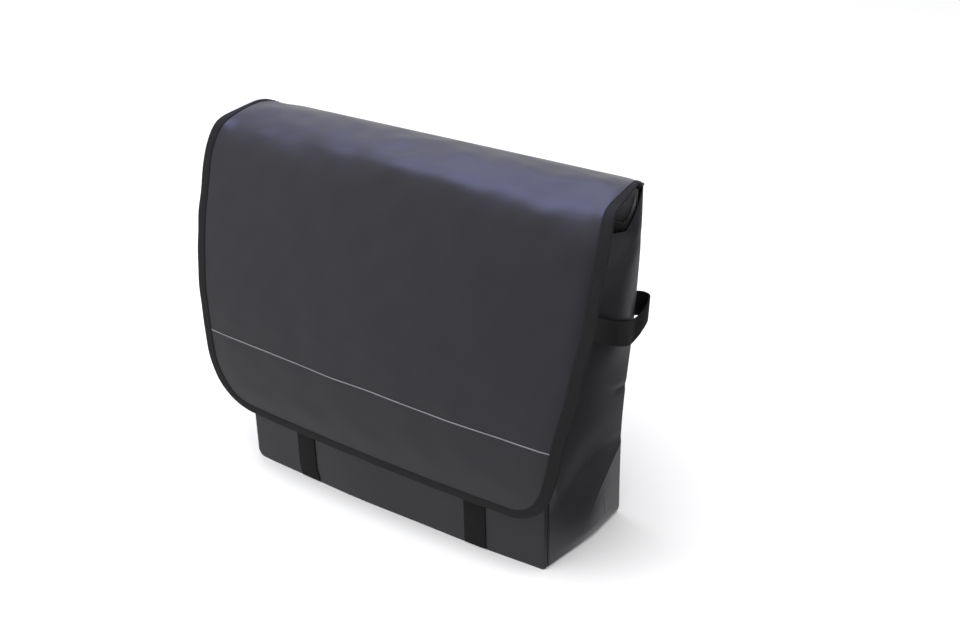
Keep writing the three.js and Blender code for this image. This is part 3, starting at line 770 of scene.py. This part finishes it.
# Relief of the flap: s is the distance from the hem along the profile, side the distance from a side edge
flapRelief = {
    # ends of the top droop: height, reach from the side, power; a hump between: height, s, reach
    "droop": (1.9, 17, 1.3), "hump": (1.2, 53, 9),
    # where they droop: share, distances s where it comes and goes
    "droopRuns": [(1.0, (8, 18), (32, 48)), (0.7, (60, 76), (82, 104))],
    # front crest: reach from the side, distance s, reach; at the edges it stands square by a height
    "crestEdge": 28, "crestLine": (113, 15), "square": 1.6,
    # crest's middle: height, x, reach, how much further down it lies; its round ends: height, x, reach
    "crest": (2.3, 30, 75, 3), "roundEnds": [(2.4, -160, 75), (1.92, 185, 55)],
    # puckers along the bound edges: height, reach; distances s where those at the sides come in
    "pucker": (0.26, 12), "puckerStart": (15, 50), "hemPucker": 0.8,
    # ends curl in: depth, reach from the side, distance s, reach
    "curl": (1.3, 42, 335, 60),
    # right edge turns back: depth, reach, distances s where it comes, distances from below where it goes
    "turn": (3.4, 22, (105, 150), (5, 60)),
    # broad wave: height, length, start, distance s, reach
    "broad": (0.9, 57, 0.5, 240, 110),
    # crumpled patches: height, share everywhere, more on the top at a distance s, reach; fades at the edges
    "crumple": (1.5, 0.36, 0.64, 82, 44),
    "crumpleSide": (0, 30), "crumpleTop": (20, 50), "crumpleLow": (0, 40),
    # single wrinkles: height, a distance s and the x it holds for, slant, reach in s, middle and reach in x
    "wrinkles": [(0.55, 58, 170, 0.32, 5, 172, 20), (-0.4, 69, 170, 0.32, 6, 168, 24),
                 (0.8, 34, -150, -0.25, 2.6, -150, 8)],
}


def crumple(x, s):
    # crumpled cloth: broad warped waves crossed by narrower ones; each divisor is a length in millimetres
    broad = np.sin(x / 17 + s / 23 + 0.9 * np.sin(x / 41)) * np.sin(s / 11 - x / 47 + 1.2 * np.sin(x / 29))
    narrow = np.sin(x / 7.9 - s / 13 + 1.5 + np.sin(s / 19)) * np.sin(s / 6.9 + x / 21)
    return 0.62 * broad + 0.24 * narrow


def flapTop(s, x, side):
    # relief of the top: drooping ends with a hump between, and a front crest that is square at its ends
    deep, reach, power = flapRelief["droop"]
    ends = (1 - smooth(0, reach, side)) ** power
    sunk = sum(share * smooth(*comes, s) * (1 - smooth(*goes, s))
               for share, comes, goes in flapRelief["droopRuns"])
    high, at, wide = flapRelief["hump"]
    droop = ends * (high * bell(s, at, wide) - deep * sunk)
    high, middle, wide, lower = flapRelief["crest"]
    crest = high * bell(x, middle, wide)
    crest = crest - sum(drop * bell(x, at, reach) for drop, at, reach in flapRelief["roundEnds"])
    edge = 1 - smooth(0, flapRelief["crestEdge"], side)
    line, reach = flapRelief["crestLine"]
    rounding = bell(s, line + lower * bell(x, middle, wide), reach)
    return droop + (flapRelief["square"] * edge + crest * (1 - edge)) * rounding


def flapEdges(s, x, side, low):
    # relief along the bound edges: puckers as sums of waves, ends that curl in, a right edge that turns back
    high, reach = flapRelief["pucker"]
    pucker = np.sin(s / 9.7 + 0.7 * np.sign(x) + 1.3 * np.sin(s / 31))
    pucker = pucker + 0.6 * np.sin(s / 5.9 + 2.1 * np.sign(x))
    hem = np.sin(x / 11 + 1.1 * np.sin(x / 37)) + 0.6 * np.sin(x / 6.3 + 1)
    relief = high * smooth(*flapRelief["puckerStart"], s) * np.exp(-side / reach) * pucker
    relief = relief + flapRelief["hemPucker"] * high * np.exp(-low / reach) * hem
    deep, reach, at, wide = flapRelief["curl"]
    relief = relief - deep * (1 - smooth(0, reach, side)) * bell(s, at, wide)
    deep, reach, comes, goes = flapRelief["turn"]
    turned = np.clip(1 - side / reach, 0, 1) ** 2 * (x > 0)
    return relief - deep * turned * smooth(*comes, s) * smooth(*goes, low)


def flapSoft(s, x, half):
    # soft relief of the whole flap: top, edges, one broad wave, crumpled patches and single wrinkles
    side = np.clip(half - np.abs(x + flapAside(s)), 0, None)
    low = flapLow(s, x)
    relief = flapTop(s, x, side) + flapEdges(s, x, side, low)
    high, length, start, at, reach = flapRelief["broad"]
    relief = relief + high * np.sin(x / length + start) * bell(s, at, reach)
    high, share, more, at, reach = flapRelief["crumple"]
    fade = smooth(*flapRelief["crumpleSide"], side) * smooth(*flapRelief["crumpleTop"], s)
    fade = fade * smooth(*flapRelief["crumpleLow"], low)
    relief = relief + high * crumple(x, s) * (share + more * bell(s, at, reach)) * fade
    for high, at, start, slant, wide, middle, reach in flapRelief["wrinkles"]:
        relief = relief + high * bell(s, at + slant * (x - start), wide) * bell(x, middle, reach)
    return relief


def flapSurface(s, x, lift):
    # point at distance s along the profile and x across, lifted off the face: profile, crown and relief
    y, z, half, ny, nz = flapProfile(s)
    swell = smooth(flapLook["crownStart"] * flapLength, flapLook["crownFull"] * flapLength, s)
    swell = flapLook["crown"] * swell * (1 - (x / half) ** 2)
    out = swell + lift + flapSoft(s, x, half)
    return stacked(x, y + ny * out, z + nz * out)


def flapRows():
    # rows as shares of the way down to the corners and angles round them, closer together over the back edge
    bend = np.linspace(0, flapLook["bendShare"], flapLook["bendRows"])[:-1]
    even = np.linspace(flapLook["bendShare"], 1, flapLook["evenRows"])[:-1]
    turn = np.linspace(0, math.pi / 2, flapLook["cornerRows"])
    straight = np.concatenate([bend, even])
    return np.concatenate([straight, np.ones(len(turn))]), np.concatenate([0 * straight, turn])


def flapPanel():
    s, x = (between(pair, np.linspace(0, 1, flapLook["columns"])) for pair in flapSides(*flapRows()))
    points, uv = flapSurface(s, x, 0.0), stacked(x, s)
    return clothPanel("flapPanel", points[::-1], uv[::-1], flapLook["cloth"], coated,
                      ["flap"], flapLining)


flapSheet = flapPanel()
print("flap made, length along its profile", round(float(flapLength), 1))

tapeShape = {"width": 10.2, "slim": 0.5, "slimRun": (48, 120), "lowSlim": 0.2, "lowReach": 26, "wall": 0.5,
             "slack": 0.05, "stitchInset": 8.2, "startShare": 0.045, "bottomSteps": 160, "sideSteps": 220,
             "cornerSteps": 50,
             # section: points on a leaf and on the fold, flatness of the fold outside and inside,
             # where a leaf ends, its bulge, how thin its free edge is pressed
             "leafSteps": 8, "foldSteps": 9, "foldOut": 0.7, "foldIn": 0.4,
             "leafEnd": 0.6, "bulge": 0.12, "thin": 0.25}


def flapEdge():
    # the bound edge as distances s and x: down the left side, along the front, up the right side
    straight = np.linspace(tapeShape["startShare"], 1, tapeShape["sideSteps"])[:-1]
    turn = np.linspace(0, math.pi / 2, tapeShape["cornerSteps"])
    share = np.concatenate([straight, np.ones(len(turn))])
    s, x = flapSides(share, np.concatenate([0 * straight, turn]))
    across = np.linspace(0, 1, tapeShape["bottomSteps"])[1:-1]
    return (np.concatenate([pair[:, 0], between(pair[-1], across), pair[::-1, 1]]) for pair in (s, x))


def onTape(s, x, inward, lift):
    # points a distance inward from the bound edge, along the cloth, and lifted off the cloth's middle
    direction = unit(np.gradient(np.column_stack([x, s]), axis=0))
    inS, inX = -direction[:, :1], direction[:, 1:]
    return flapSurface(s[:, None] + inward * inS, x[:, None] + inward * inX, lift - flapLook["cloth"] / 2)


def tapeOutline():
    # folded tape: two leaves and a round fold, listed once round
    leaf = flapLook["cloth"] / 2 + tapeShape["slack"]
    outer = leaf + tapeShape["wall"]
    turn = np.linspace(math.pi / 2, -math.pi / 2, tapeShape["foldSteps"])
    arc = np.column_stack([np.cos(turn), np.sin(turn)])
    fold = arc * (outer * tapeShape["foldOut"], outer)
    inside = (arc * (leaf * tapeShape["foldIn"], leaf))[::-1]
    width, steps = tapeShape["width"], tapeShape["leafSteps"]
    top = np.column_stack([np.linspace(-width, -tapeShape["leafEnd"], steps), np.full(steps, outer)])
    top[:, 1] += tapeShape["bulge"] * np.sin(np.linspace(0, math.pi, steps))
    top[0, 1] -= tapeShape["thin"]
    under = top[::-1] * (1, -1)
    return np.concatenate([top, fold, under, [(-width, -leaf)], inside, [(-width, leaf)]])


def tapeShare(s, x):
    # share of the tape's width that lies on the outer face: slimmer over the top and along the lower edge
    low = flapLow(s, x)
    share = tapeShape["slim"] + (1 - tapeShape["slim"]) * smooth(*tapeShape["slimRun"], s)
    return (share * (1 - tapeShape["lowSlim"] * (1 - smooth(0, tapeShape["lowReach"], low))))[:, None]


def flapTape():
    s, x = flapEdge()
    outline = tapeOutline()
    inward = -np.minimum(outline[None, :, 0], 0) * tapeShare(s, x) - np.maximum(outline[None, :, 0], 0)
    sections = onTape(s, x, inward, outline[None, :, 1])
    uv = wrapUv(outline, sections[:, 0])
    return sweptBody("flapTape", sections, uv, tape, ["flap_binding"])


flapTape()


stitch = {
    "pitch": 4.4, "length": 3.2, "radius": 0.28, "sides": 6, "above": 0.08,
    # rings along a stitch, in shares of its length and radius: place, thickness, rise
    "rings": [(-1, 0.3, -0.6), (-0.8, 0.8, -0.05), (-0.35, 1, 0.25), (0.35, 1, 0.25), (0.8, 0.8, -0.05),
              (1, 0.3, -0.6)],
}


def stitchRow(name, path, normals):
    # a row of sewn threads: short beads of six sides, each sunk at both ends, spaced evenly along a path
    run = lengthAlong(path)
    at = np.arange(stitch["pitch"] / 2, run[-1], stitch["pitch"])

    def pick(values):
        return np.column_stack([np.interp(at, run, values[:, k]) for k in range(3)])

    centre, normal = pick(path), unit(pick(normals))
    tangent = unit(pick(unit(np.gradient(path, axis=0))))
    across = np.cross(normal, tangent)
    along, thick, rise = np.array(stitch["rings"]).T
    along, thick, rise = along * stitch["length"] / 2, thick * stitch["radius"], rise * stitch["radius"]
    sides, rings = stitch["sides"], len(along)
    turn = np.arange(sides) * 2 * math.pi / sides
    spine = centre[:, None] + along[None, :, None] * tangent[:, None] + rise[None, :, None] * normal[:, None]
    ring = np.cos(turn)[None, :, None] * across[:, None] + np.sin(turn)[None, :, None] * normal[:, None]
    points = spine[:, :, None] + thick[None, :, None, None] * ring[:, None]
    r, c = gridCorners(rings, sides, closed=True)
    one = r * sides + c % sides
    shift = np.arange(len(at))[:, None, None] * rings * sides
    faces = (one[None] + shift).reshape(-1, 4)[:, ::-1].tolist()
    first = np.arange(sides)
    caps = np.stack([first, (rings - 1) * sides + first[::-1]])
    faces += (caps[None] + shift).reshape(-1, sides).tolist()
    corners = sum(len(face) for face in faces)
    return makePiece(name, points, faces, np.zeros((corners, 2)), thread)


def sewTape():
    # one row of stitches along the inner part of the tape, on its outer leaf
    s, x = flapEdge()
    height = flapLook["cloth"] / 2 + tapeShape["slack"] + tapeShape["wall"] + stitch["above"]
    inset = tapeShape["stitchInset"] * tapeShare(s, x)
    path = onTape(s, x, inset, height)[:, 0]
    normals = unit(path - onTape(s, x, inset, height - 1)[:, 0])
    stitchRow("tapeStitches", path, normals)


sewTape()

pipingShape = {"radius": 0.58, "height": 145.9, "tilt": 3.4, "endGap": 0.5, "steps": 160, "sides": 12,
               "stand": 0.45, "facing": (0.0, -1.0, 0.2),
               # slight waves: height, turns across, start
               "wave": (0.5, 9, 0.5)}


def flapPiping():
    # thin cord across the flap from tape to tape, higher at its left end, half sunk in its seam
    reach = flapProfile(flapAtHeight(pipingShape["height"]))[2] - tapeShape["width"] - pipingShape["endGap"]
    share = np.linspace(-1, 1, pipingShape["steps"])
    high, turns, start = pipingShape["wave"]
    wave = high * np.sin(share * turns + start) * (1 - share**2)
    s = flapAtHeight(pipingShape["height"] - pipingShape["tilt"] * share + wave)
    path = flapSurface(s, reach * share - flapAside(s), pipingShape["stand"] * pipingShape["radius"])
    turn = np.arange(pipingShape["sides"]) * 2 * math.pi / pipingShape["sides"]
    outline = np.column_stack([np.cos(turn), np.sin(turn)]) * pipingShape["radius"]
    normals = np.tile(pipingShape["facing"], (len(path), 1))
    return ribbon("flapPiping", path, normals, outline, reflective, ["flap_piping"])


flapPiping()

hemShape = {"height": 6, "wall": 1.9, "reach": 188.5, "foot": 340.75, "edge": 0.8, "gap": 0.2, "steps": 80,
            "stitchRise": 1.2,
            # slight wave: height, length
            "wave": (0.15, 19)}


def backHem():
    # folded hem along the flap's back edge: a flat rounded bar across the back, with a row of stitches
    x = np.linspace(-hemShape["reach"], hemShape["reach"], hemShape["steps"])
    high, length = hemShape["wave"]
    y = flapLook["sections"][0][0] + hemShape["gap"] + hemShape["wall"] / 2
    path = stacked(x, y, hemShape["foot"] + hemShape["height"] / 2 + high * np.sin(x / length))
    outline = roundedBar(hemShape["height"], hemShape["wall"], hemShape["edge"])
    normals = np.tile((0.0, 1.0, 0.0), (len(path), 1))
    ribbon("backHem", path, normals, outline, coated, ["back_hem"])
    sewn = path + (0, hemShape["wall"] / 2, hemShape["stitchRise"])
    stitchRow("hemStitches", sewn, normals)


backHem()
print("flap trim made")

# Webbing
strapShape = {"width": 25, "wall": 1.5, "edge": 0.6, "gap": 0.5, "sideZ": 240, "startBehind": 3,
              "frontRise": 0.45, "frontX": 109, "frontFoot": 1, "frontTop": 150, "frontSteps": 110,
              "kick": 3.0, "kickTop": 14, "slopeStep": 4.0,
              "sideSteps": 220, "anchorSteps": 160,
              # free end: its length and how much narrower it is; lean of a slack loop's lower edge: its power
              "taper": 6.0, "narrow": 0.35, "leanPower": 1.8}
strapOutline = roundedBar(strapShape["width"], strapShape["wall"], strapShape["edge"])


def frontStrap(name, middle, kick, node):
    # webbing down the front panel: it follows the crown, and its foot may kick sideways
    z = np.linspace(strapShape["frontTop"], strapShape["frontFoot"], strapShape["frontSteps"])
    x = middle + kick * (1 - smooth(2 * strapShape["frontFoot"], strapShape["kickTop"], z))
    path = np.column_stack([x, frontFace(x, z) - strapShape["frontRise"], z])
    step = strapShape["slopeStep"]
    slope = (frontFace(x + step, z) - frontFace(x - step, z)) / (2 * step)
    normals = unit(np.column_stack([slope, -np.ones_like(z), np.zeros_like(z)]))
    return ribbon(name, path, normals, strapOutline, webbing, [node])


frontStrap("frontStrapLeft", -strapShape["frontX"], strapShape["kick"], "front_strap_left")
frontStrap("frontStrapRight", strapShape["frontX"], 0.0, "front_strap_right")

layOff = 2 * body["gap"] + strapShape["wall"] / 2
strapBehind = backOuter + layOff
# both side straps start a little behind the front seam
strapStart = float(bodyAt(np.array(float(strapShape["sideZ"])))[1]) + strapShape["startBehind"]


def seamX(z):
    # middle of webbing that lies against the side, off the widest place that its width covers
    return float(bodyAt(np.asarray(z, float) + strapShape["width"] / 2)[0]) + layOff


def standingStrap(name, points, count, node, lean=None, taper=0.0):
    # webbing on edge along a route, its width along z
    # lean pulls its lower edge aside, and taper rounds its free end
    path = smoothPath(points, count)
    tangents = unit(np.gradient(path, axis=0))
    up = np.array((0.0, 0.0, 1.0))
    normals = unit(np.cross(tangents, up))
    run = lengthAlong(path)
    left = np.clip((run[-1] - run) / max(taper, 1e-6), 0, 1)
    narrow = 1 - strapShape["narrow"] * (1 - np.sqrt(1 - (1 - left) ** 2))
    across = strapOutline[None, :, 0] * narrow[:, None]
    sections = path[:, None] + across[..., None] * up + strapOutline[None, :, 1:] * normals[:, None]
    if lean is not None:
        middle, reach, pull = lean
        lower = (0.5 - across / strapShape["width"]) ** strapShape["leanPower"]
        amount = lower * bell(run, middle * run[-1], reach)[:, None]
        sections = sections + amount[..., None] * np.array(pull)
    return sweptBody(name, sections, wrapUv(strapOutline, path), webbing, [node])


def sideStrapRight():
    # from the front seam, sagging across the side, round a slack loop and flat onto the back
    # each place: distance off the side, y, z
    route = [
        (1, strapStart, strapShape["sideZ"]), (1, -28, 238), (-1.2, -9, 231), (-0.8, 14, 219), (2.6, 29, 212),
        (3.7, 44, 207), (2, backOuter - 4, 204), (3.5, backOuter + 6, 208.5), (3, backOuter + 15, 215),
        (-1, backOuter + 22, 218), (-10, backOuter + 22, 219), (-17, backOuter + 13, 220),
        (-21, strapBehind + 3, 220.5), (-29, strapBehind, 220), (-45, strapBehind, 219),
    ]
    points = [(seamX(z) + out, y, z) for out, y, z in route]
    # the loop leans where it is slack: share of the way along, reach, pull
    lean = (0.62, 20, (-2.0, -4.0, 0.0))
    return standingStrap("sideStrapRight", points, strapShape["sideSteps"], "side_strap_right", lean=lean)


sideStrapRight()

buckleShape = {"height": 31, "wall": 3, "bar": 3.5, "middle": 4, "slot": 6.5, "round": 4, "out": 3, "y": 27,
               "z": 240, "barEdge": 1.1, "middleEdge": 1.3, "sunk": 0.6, "cornerSteps": 9}
buckleX = -(float(bodyAt(np.array(float(buckleShape["z"])))[0]) + buckleShape["out"])
buckleLength = 2 * buckleShape["bar"] + 2 * buckleShape["slot"] + buckleShape["middle"]
buckleLay = buckleShape["wall"] / 2 + strapShape["wall"] / 2 + strapShape["gap"]
outerSide, innerSide = buckleX - buckleLay, buckleX + buckleLay


def sideBuckle():
    # frame: a rounded bar carried once round a rounded rectangle; middle bar: an oval bar across it
    inset = buckleShape["bar"] / 2
    radius = buckleShape["round"] - inset
    ends = (buckleLength / 2 - inset - radius, buckleShape["height"] / 2 - inset - radius)
    turn = np.linspace(0, math.pi / 2, buckleShape["cornerSteps"])
    quarter = np.column_stack([np.cos(turn), np.sin(turn)]) * radius + ends
    ring = np.concatenate([quarter, quarter[::-1] * (-1, 1), -quarter, quarter[::-1] * (1, -1)])
    ring = np.concatenate([ring, ring[:1]])
    path = np.column_stack([np.zeros(len(ring)), ring])
    ahead = np.concatenate([path[1:], path[1:2]])
    behind = np.concatenate([path[-2:-1], path[:-1]])
    outside = unit(np.cross(unit(ahead - behind), (1.0, 0.0, 0.0)))
    outline = roundedBar(buckleShape["bar"], buckleShape["wall"], buckleShape["barEdge"])
    sections = path[:, None] + outline[None, :, :1] * outside[:, None]
    sections = sections + outline[None, :, 1:] * np.array((1.0, 0, 0))
    rows, columns = sections.shape[0] - 1, len(outline)
    r, c = gridCorners(rows + 1, columns, closed=True)
    faces = (r % rows * columns + c % columns).tolist()
    if signedVolume(sections) < 0:
        faces = [face[::-1] for face in faces]
    oval = roundedBar(buckleShape["middle"], buckleShape["wall"], buckleShape["middleEdge"])
    z = np.array([-1, 1]) * (buckleShape["height"] / 2 - buckleShape["bar"] * buckleShape["sunk"])
    bar = stacked(oval[None, :, 1], oval[None, :, 0], z[:, None])
    r, c = gridCorners(2, len(oval), closed=True)
    barFaces = (rows * columns + r * len(oval) + c % len(oval)).tolist()
    if signedVolume(bar) < 0:
        barFaces = [face[::-1] for face in barFaces]
    points = np.concatenate([sections[:-1].reshape(-1, 3), bar.reshape(-1, 3)])
    points = points + (buckleX, buckleShape["y"], buckleShape["z"])
    faces += barFaces
    uv = np.zeros((4 * len(faces), 2))
    return makePiece("sideBuckle", points, faces, uv, plastic, ["side_buckle_left"])


sideBuckle()


def sideAnchor():
    # from the back, round the seam to the buckle, round its rear bar and back on itself
    seam = -seamX(buckleShape["z"])
    bar = buckleShape["y"] + buckleLength / 2 - buckleShape["bar"] / 2
    slot = bar - buckleShape["bar"] / 2 - strapShape["wall"] / 2 - strapShape["gap"]
    route = [
        (seam + 30, strapBehind), (seam + 8, strapBehind), (seam - 0.3, strapBehind + 0.3),
        (seam - 0.8, backOuter - 6), (outerSide, bar + 6), (outerSide, bar + 1),
        (outerSide + 0.5, slot + 0.8), (buckleX, slot - 0.2), (innerSide - 0.5, slot + 0.8),
        (innerSide, bar + 1), (innerSide, bar + 8),
    ]
    points = [(x, y, buckleShape["z"]) for x, y in route]
    return standingStrap("sideAnchor", points, strapShape["anchorSteps"], "side_anchor_left")


def sideStrapLeft():
    # from under the flap along the side, inside the buckle, round its middle bar and out as a free tail
    seam = -seamX(buckleShape["z"])
    y = buckleShape["y"]
    around = y + buckleShape["middle"] / 2 + strapShape["wall"] / 2 + 2 * body["gap"]
    route = [
        (seam - 1, strapStart), (seam - 0.5, -24), (innerSide - 2, -6), (innerSide, y - 14),
        (innerSide, y - 4), (innerSide, y + 1), (innerSide - 0.6, around - 0.6), (buckleX, around + 0.3),
        (outerSide + 0.6, around - 0.6), (outerSide, y + 1), (outerSide, y - 4), (outerSide, y - 13),
        (outerSide - 8, y - 30), (outerSide - 17, y - 48),
    ]
    points = [(x, py, buckleShape["z"]) for x, py in route]
    return standingStrap("sideStrapLeft", points, strapShape["sideSteps"], "side_strap_left",
                         taper=strapShape["taper"])


sideAnchor()
sideStrapLeft()
print("straps made")

hookShape = {"x": 108, "width": 20, "wall": 2.5, "radius": 6.25, "centre": 332, "plateEnd": 304, "lip": 11,
             "edge": 0.8, "archSteps": 40, "plateSteps": 12, "lipSteps": 5}
rivetShape = {
    "radius": 4.2, "height": 2.2, "z": 312, "sides": 32, "centre": 0.02,
    # half section from the foot's rim inwards, in shares of the radius and of the height
    "profile": [(1, 0), (1, 0.3), (0.93, 0.46), (0.72, 0.5), (0.64, 0.4), (0.58, 0.5), (0.52, 0.78),
                (0.36, 0.93), (0.18, 0.99)],
}


def rackHook(name, middle, node):
    # strip bent over a rail: straight plate, half circle, straight lip, with a rounded outline
    inner = backOuter + body["gap"]
    plate = inner + hookShape["wall"] / 2
    bend = hookShape["radius"] + hookShape["wall"] / 2
    arch = plate + bend
    centre = hookShape["centre"]
    turn = np.linspace(math.pi, 0, hookShape["archSteps"])
    half = np.column_stack([arch + bend * np.cos(turn), centre + bend * np.sin(turn)])
    up = stacked(plate, np.linspace(hookShape["plateEnd"], centre, hookShape["plateSteps"] + 1)[:-1])
    down = stacked(arch + bend, centre - np.linspace(0, hookShape["lip"], hookShape["lipSteps"] + 1)[1:])
    line = np.concatenate([up, half, down])
    path = np.column_stack([np.full(len(line), middle), line])
    tangents = unit(np.gradient(path, axis=0))
    normals = np.cross(tangents, (1.0, 0.0, 0.0))
    outline = roundedBar(hookShape["width"], hookShape["wall"], hookShape["edge"])
    return ribbon(name, path, normals, outline, plastic, [node])


def hookRivet(name, middle, node):
    # turned head: a profile carried once round, with a flat rim, a groove and a low dome
    profile = np.array(rivetShape["profile"]) * (rivetShape["radius"], rivetShape["height"])
    inner = rivetShape["centre"]
    profile = np.concatenate([[(inner, 0)], profile, [(inner, rivetShape["height"])]])
    turn = np.arange(rivetShape["sides"]) * 2 * math.pi / rivetShape["sides"]
    x = middle + profile[:, :1] * np.cos(turn)[None]
    z = rivetShape["z"] + profile[:, :1] * np.sin(turn)[None]
    y = backOuter + hookShape["wall"] + 2 * body["gap"] + np.broadcast_to(profile[:, 1:], x.shape)
    sections = np.stack([x, y, z], -1)
    uv = np.zeros((len(profile), rivetShape["sides"] + 1, 2))
    return sweptBody(name, sections, uv, steel, [node])


for side, sign in (("left", -1), ("right", 1)):
    rackHook("rackHook" + side.title(), sign * hookShape["x"], "rack_hook_" + side)
    hookRivet("hookRivet" + side.title(), sign * hookShape["x"], "hook_rivet_" + side)
print("hooks made")

# Floor and light, in metres
studio = {
    "floor": 14.0, "floorColour": (0.93, 0.93, 0.94), "floorRoughness": 0.9, "floorSpecular": 0.1,
    "worldColour": (1.0, 1.0, 1.0), "worldStrength": 0.84,
    # dark cards seen only in reflections, painted shade in the faces that mirror them: shade, corners
    "cards": {
        "sideCard": (0.07, [(0.222, -2.6, 0.002), (1.6, -2.6, 0.002), (1.6, 1.65, 0.002),
                            (0.473, 0.465, 0.002), (0.352, 0.37, 0.002), (0.222, 0.06, 0.002)]),
        "frontCard": (0.07, [(-0.75, -3.0, 0.0), (2.6, -3.0, 0.0), (2.6, -3.0, 2.0), (-0.75, -3.0, 2.0)]),
    },
    "cardTint": (1.0, 1.0, 1.04),
    # lights: place, aim, size, power, colour; the first one is not mirrored, the others are only mirrored
    "lights": {
        "overhead": ((-0.2, -1.0, 2.3), (0, -0.1, 0), (3.0, 3.0), 70, (1.0, 1.0, 1.0)),
        "frontLeft": ((-2.4, -1.9, 1.25), (0, 0, 0.3), (2.4, 2.4), 2.5, (1.0, 0.99, 1.0)),
        "behind": ((-1.5, 1.75, 1.3), (0, 0.1, 0.35), (2.6, 0.9), 4.5, (0.55, 0.56, 1.0)),
        "overRear": ((-0.85, 0.8, 2.0), (0, 0, 0.35), (1.1, 1.1), 15, (0.51, 0.52, 1.0)),
        "overFront": ((-0.78, -0.27, 2.0), (0, 0, 0.35), (1.1, 1.05), 26, (0.51, 0.52, 1.0)),
    },
}


def stagePiece(name, corners, kind, inputs):
    # one flat face of the studio with a plain shader
    mesh = bpy.data.meshes.new(name)
    mesh.from_pydata(corners, [], [range(len(corners))])
    made = addObject(name, mesh)
    material, wire = newFinish(name + "Finish")
    wire.node(kind, {}, inputs, "BSDF").finish()
    mesh.materials.append(material)
    return made


def makeFloor():
    half = studio["floor"] / 2
    corners = [(-half, -half, 0), (half, -half, 0), (half, half, 0), (-half, half, 0)]
    inputs = {"Base Color": (*studio["floorColour"], 1), "Roughness": studio["floorRoughness"],
              "Specular IOR Level": studio["floorSpecular"]}
    floor = stagePiece("floor", corners, "ShaderNodeBsdfPrincipled", inputs)
    floor.visible_glossy = False    # the bag mirrors the even studio, not its own shadow


def makeCard(name, shade, corners):
    # dark card seen only in reflections, which keeps the faces that mirror it deep: painted shade in their
    # reflections, in place of shadowed floor and darker surroundings
    colour = [shade * part for part in studio["cardTint"]]
    card = stagePiece(name, corners, "ShaderNodeBsdfDiffuse", {"Color": (*colour, 1)})
    card.visible_camera = False
    card.visible_diffuse = False
    card.visible_shadow = False
    card.visible_transmission = False


def softLight(name, place, aim, size, power, colour):
    # soft light that faces a point: overhead is kept out of reflections, the others out of diffuse light
    data = bpy.data.lights.new(name, "AREA")
    data.shape = "RECTANGLE"
    data.size, data.size_y = size
    data.energy = power
    data.color = colour
    light = addObject(name, data)
    light.location = place
    light.rotation_euler = (Vector(aim) - Vector(place)).to_track_quat("-Z", "Y").to_euler()
    light.visible_camera = False
    light.visible_diffuse = name == "overhead"
    light.visible_glossy = name != "overhead"


def makeWorld():
    world = bpy.data.worlds.new("studio")
    world.use_nodes = True
    shade = world.node_tree.nodes["Background"]
    shade.inputs["Color"].default_value = (*studio["worldColour"], 1)
    shade.inputs["Strength"].default_value = studio["worldStrength"]
    bpy.context.scene.world = world


makeFloor()
makeWorld()
for lightName, settings in studio["lights"].items():
    softLight(lightName, *settings)
# cards that paint shade into reflections only
for cardName, settings in studio["cards"].items():
    makeCard(cardName, *settings)
bpy.context.scene.view_settings.view_transform = "Standard"
print("studio made")
